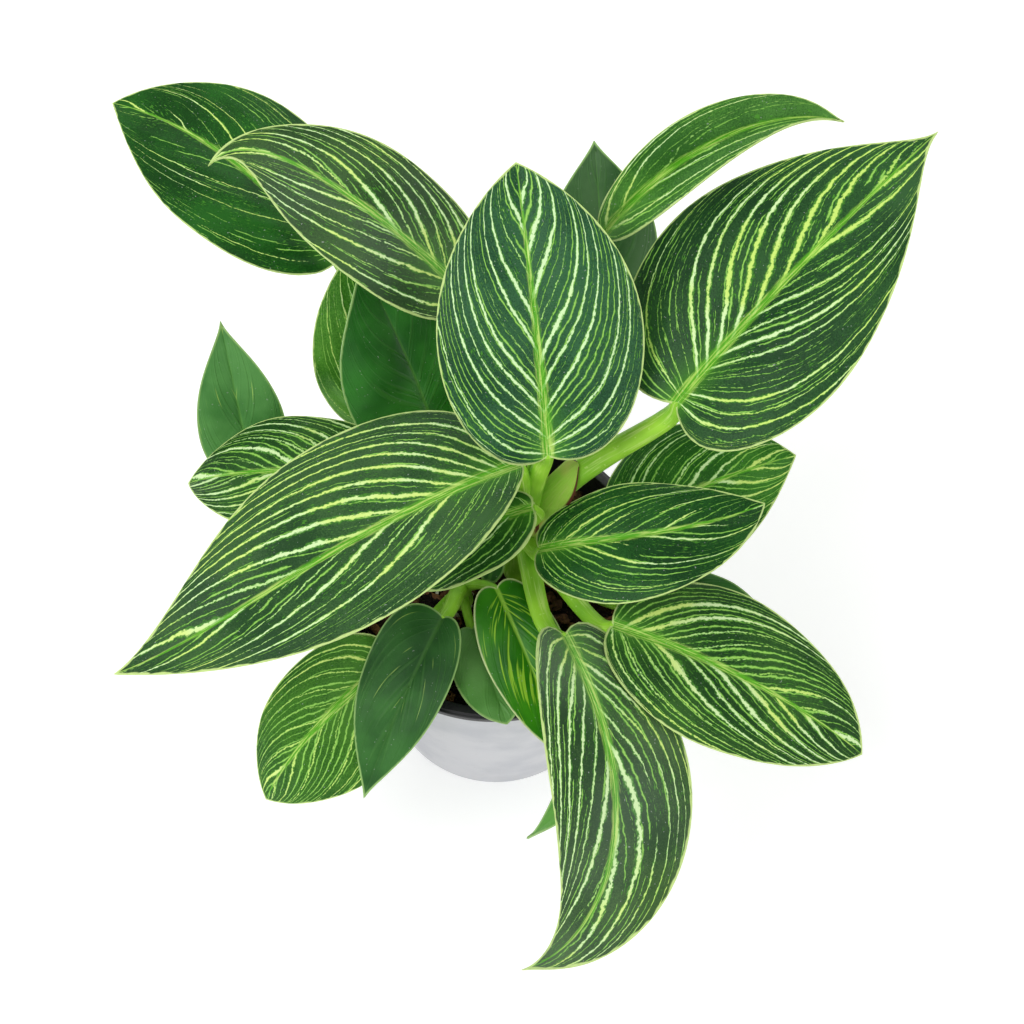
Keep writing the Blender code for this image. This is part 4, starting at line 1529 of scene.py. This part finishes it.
@dataclass
class Plant:
    """The philodendron: its stems, leaves and sheaths."""

    stems: tuple[Stem, ...] = (
        Stem("main_stem", (9, 3, 58), (13, 8, 146), 8.0),
        Stem("side_stem", (-12, -7, 58), (-12, -8, 112), 4.5, rings=4, ring_depth=0.3),
    )
    leaves: tuple[Leaf, ...] = (
        Leaf("leaf_centre", (19, 1, 192), 98, 52, 100, 73, arch=30, skew=0.04, lobe=0.12,
             point=0.1, stalk_radius=3.6, stalk_from=124,
             look=dict(broad=0.8, fine=0.7, yellow=0.1, margin=1.3, deep=srgb(28, 68, 40),
                       middle=srgb(52, 100, 62), mint=srgb(214, 246, 186))),
        Leaf("leaf_right", (62, 17, 200), 41, 37, 132, 88, arch=38, skew=-0.03, swing=6,
             belly=0.52, lobe=0.2, point=0.9, tip_trim=(-0.2, 0.1), stalk_radius=4.2,
             stalk_from=122,
             look=dict(broad=0.85, fine=0.5, yellow=0.7, margin=1.4, deep=srgb(24, 62, 28),
                       middle=srgb(46, 90, 44), lemon=srgb(204, 236, 116))),
        Leaf("leaf_left", (10, 5, 180), 213, 22, 162, 84, arch=54, skew=0.03, swing=-31,
             swing_power=5, belly=0.5, lobe=0.02, point=0.6, base_trim=(0.85, -0.1),
             tip_trim=(0.15, 0.2), stalk_radius=3.2, stalk_from=124,
             look=dict(broad=0.8, broad_width=1.05, fine=0.3, yellow=0.6, margin=1.6,
                       deep=srgb(34, 70, 34), middle=srgb(60, 98, 52))),
        Leaf("leaf_upper_left", (-8, 59, 200), 146, 38, 113, 56, arch=56, swing=90,
             swing_power=9, lobe=0.1, point=0.9, tip_trim=(0.1, 0), stalk_from=128,
             look=dict(broad=0.8, fine=0.4, sheen=0.12, yellow=0.6, margin=1.6,
                       deep=srgb(32, 64, 24), middle=srgb(56, 92, 40))),
        Leaf("leaf_far_left", (-58, 101, 165), 138, 25, 114, 68, arch=40, swing=16, lobe=0.05,
             stalk_from=124, stalk_lift=0.2, stalk_bow=-48,
             look=dict(broad=0.35, broad_width=0.5, fine=0.25, fine_width=0.8, yellow=0.8,
                       deep=srgb(16, 64, 14), middle=srgb(34, 98, 26))),
        Leaf("leaf_back_left_striped", (-44, 56, 124), 94, 86, 92, 46, arch=22,
             stalk_from=108, stalk_lift=0.05, approach=3,
             look=dict(broad=0.8, broad_width=0.7, fine=0.5, yellow=0.7,
                       deep=srgb(50, 112, 24), middle=srgb(88, 150, 48))),
        Leaf("leaf_back_left_plain", (-22, 40, 144), 130, 72, 76, 60, arch=22, stalk_from=116,
             kind=PLAIN,
             look=dict(deep=srgb(28, 94, 24), light=srgb(54, 128, 44), gloss=0.26)),
        Leaf("leaf_left_plain", (-92, 37, 113), 103, 60, 63, 37, arch=22, point=0.8,
             tip_trim=(0.15, 0.2), stalk_from=108, stalk_lift=0.2, stalk_radius=2.2,
             approach=3, kind=PLAIN,
             look=dict(deep=srgb(58, 118, 50), light=srgb(90, 150, 76), streaks=0.5)),
        Leaf("leaf_left_striped", (-42, 17, 147), 169, 0, 82, 52, arch=42, stalk_from=114,
             look=dict(broad=0.95, broad_width=1.2, fine=0.7, yellow=0.3,
                       deep=srgb(24, 64, 22), middle=srgb(48, 92, 36))),
        Leaf("leaf_under_left", (14, -4, 166), 190, -12, 68, 34, arch=40, lobe=0.1, skew=-0.3,
             stalk_from=120, stalk_radius=2.4, approach=0.2,
             look=dict(broad=0.5, broad_width=0.6, fine=0.6, yellow=0.3, margin=1.4,
                       deep=srgb(20, 62, 16), middle=srgb(40, 90, 30))),
        Leaf("leaf_mid_right", (16, -12, 149), -4, 28, 84, 48, arch=36, swing=34, skew=0.1,
             lobe=0.08, look=dict(broad=0.45, broad_width=0.6, fine=0.6, fine_width=0.9,
                                  yellow=0.6, deep=srgb(16, 58, 20),
                                  middle=srgb(36, 88, 34))),
        Leaf("leaf_right_behind", (46, 12, 120), 14, 36, 72, 64, arch=30, skew=0.06,
             stalk_from=108, look=dict(broad=0.95, fine=0.7, yellow=0.6,
                                        deep=srgb(36, 92, 24), middle=srgb(66, 128, 44))),
        Leaf("leaf_lower_right", (42, -35, 135), -20, 0, 104, 62, arch=34, swing=-8,
             lobe=0.08, point=0, stalk_radius=3.4,
             look=dict(broad=0.95, broad_width=1.25, fine=0.8, fine_width=1.1, yellow=0.6,
                       margin=1.5, deep=srgb(28, 66, 24), middle=srgb(52, 94, 38))),
        Leaf("leaf_right_low", (50, -17, 116), 2, 6, 46, 28, arch=16, stalk_from=104,
             stalk_radius=2.2, stalk_lift=0.2, kind=PLAIN),
        Leaf("leaf_front", (25, -41, 140), -66, 0, 144, 58, arch=70, swing=-115, roll=30,
             twist=-45, curl=-30, skew=-0.05, point=0.9, tip_trim=(0.05, 0.35),
             stalk_radius=3.8,
             look=dict(sheen=0.15, broad=0.85, fine=0.5, yellow=0.5, margin=1.8,
                       deep=srgb(36, 68, 34), middle=srgb(64, 96, 50))),
        Leaf("leaf_front_hidden", (44, -54, 111), -112, -18, 72, 18, arch=50, swing=-75,
             point=0.9, tip_trim=(0.6, 0.5), stalk_from=108, stalk_radius=1.7, approach=2.5, kind=PLAIN,
             look=dict(deep=srgb(60, 116, 34), light=srgb(92, 158, 56))),
        Leaf("leaf_front_left_plain", (-18, -28.5, 128), -118, -14, 74.5, 36, arch=36, skew=0.05,
             lobe=0.12, point=0.7, base_trim=(0.1, -0.6), tip_trim=(0.3, 0.2),
             stem="side_stem", stalk_from=104, kind=PLAIN,
             look=dict(rib=srgb(66, 116, 48), streaks=0.5, gloss=0.4)),
        Leaf("leaf_front_left_striped", (-37, -40, 116), -146, -18, 84, 52, arch=50,
             skew=-0.1, roll=14, fold=8, stem="side_stem", stalk_from=102, stalk_lift=0.2,
             look=dict(broad=0.9, broad_width=0.85, fine=0.8, yellow=0.9,
                       deep=srgb(34, 86, 16), middle=srgb(68, 124, 34))),
        Leaf("leaf_front_small", (-8, -26, 113), -71, 2, 40, 26, arch=6, belly=0.76, point=0,
             fold=8, cup=0.1, wave=0.5, stem="side_stem", stalk_from=102, stalk_radius=1.8,
             kind=PLAIN,
             look=dict(deep=srgb(78, 138, 56), light=srgb(124, 182, 100), lines=0.1)),
        Leaf("leaf_front_bright", (1, -16, 126), -66, -5, 68, 32, arch=34, stem="side_stem",
             stalk_from=106, stalk_radius=1.8, kind=BRIGHT,
             look=dict(deep=srgb(30, 106, 6), light=srgb(66, 150, 16), rib=srgb(176, 226, 84),
                       edge=srgb(220, 236, 170), streak=srgb(178, 228, 66), streaks=1.6)),
        Leaf("leaf_bud", (-2, -9, 117), 70, 24, 13, 9, arch=20, point=0, cup=0.1, wave=0,
             stem="side_stem", stalk_from=104, stalk_radius=1.3, kind=PLAIN),
        Leaf("leaf_back_plain", (41, 80, 165), 97, 60, 62, 44, arch=22, point=0.7, stalk_from=118,
             stalk_radius=2.4, kind=PLAIN,
             look=dict(deep=srgb(40, 82, 38), light=srgb(78, 116, 70))),
        Leaf("leaf_far_right", (38, 74, 218), 28, 56, 100, 34, arch=84, swing=-20, roll=-20,
             fold=40, belly=0.7, lobe=0, point=0.9, skew=0.2, tip_trim=(-0.3, 1.0),
             stalk_from=126,
             look=dict(sheen=0.15, broad=0.9, broad_width=0.8, fine=0.7, yellow=0.6,
                       deep=srgb(44, 96, 30), middle=srgb(76, 134, 50))),
    )
    sheaths: tuple[Sheath, ...] = (
        Sheath("sheath_right", "leaf_right", 0.06, 0.36, turn=180, dryness=0.1),
        Sheath("sheath_centre", "leaf_centre", 0.05, 0.36, turn=180, dryness=0.2),
        Sheath("sheath_lower_right", "leaf_lower_right", 0.1, 0.5, turn=180, dryness=0.1),
    )

    def build(self) -> None:
        """Model the plant."""
        skin = StalkFinish().build()
        stems = {stem.name: stem for stem in self.stems}
        leaves = {leaf.name: leaf for leaf in self.leaves}
        for stem in self.stems:
            stem.build(skin)
        for leaf in self.leaves:
            leaf.build_stalk(stems[leaf.stem], skin)
            leaf.build_blade()
        for sheath in self.sheaths:
            leaf = leaves[sheath.leaf]
            sheath.build(leaf, stems[leaf.stem])


def corners() -> list[list[float]]:
    """Give the whole object's box as plain lists."""
    return [[float(value) for value in corner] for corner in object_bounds()]


def main() -> None:
    """Build the scene."""
    logging.basicConfig(level=logging.INFO, format="%(message)s")
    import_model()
    Studio().build()
    pots = Pots()
    pots.build_cover()
    pots.build_nursery()
    PottingMix().build()
    Plant().build()


if __name__ == "__main__":
    main()
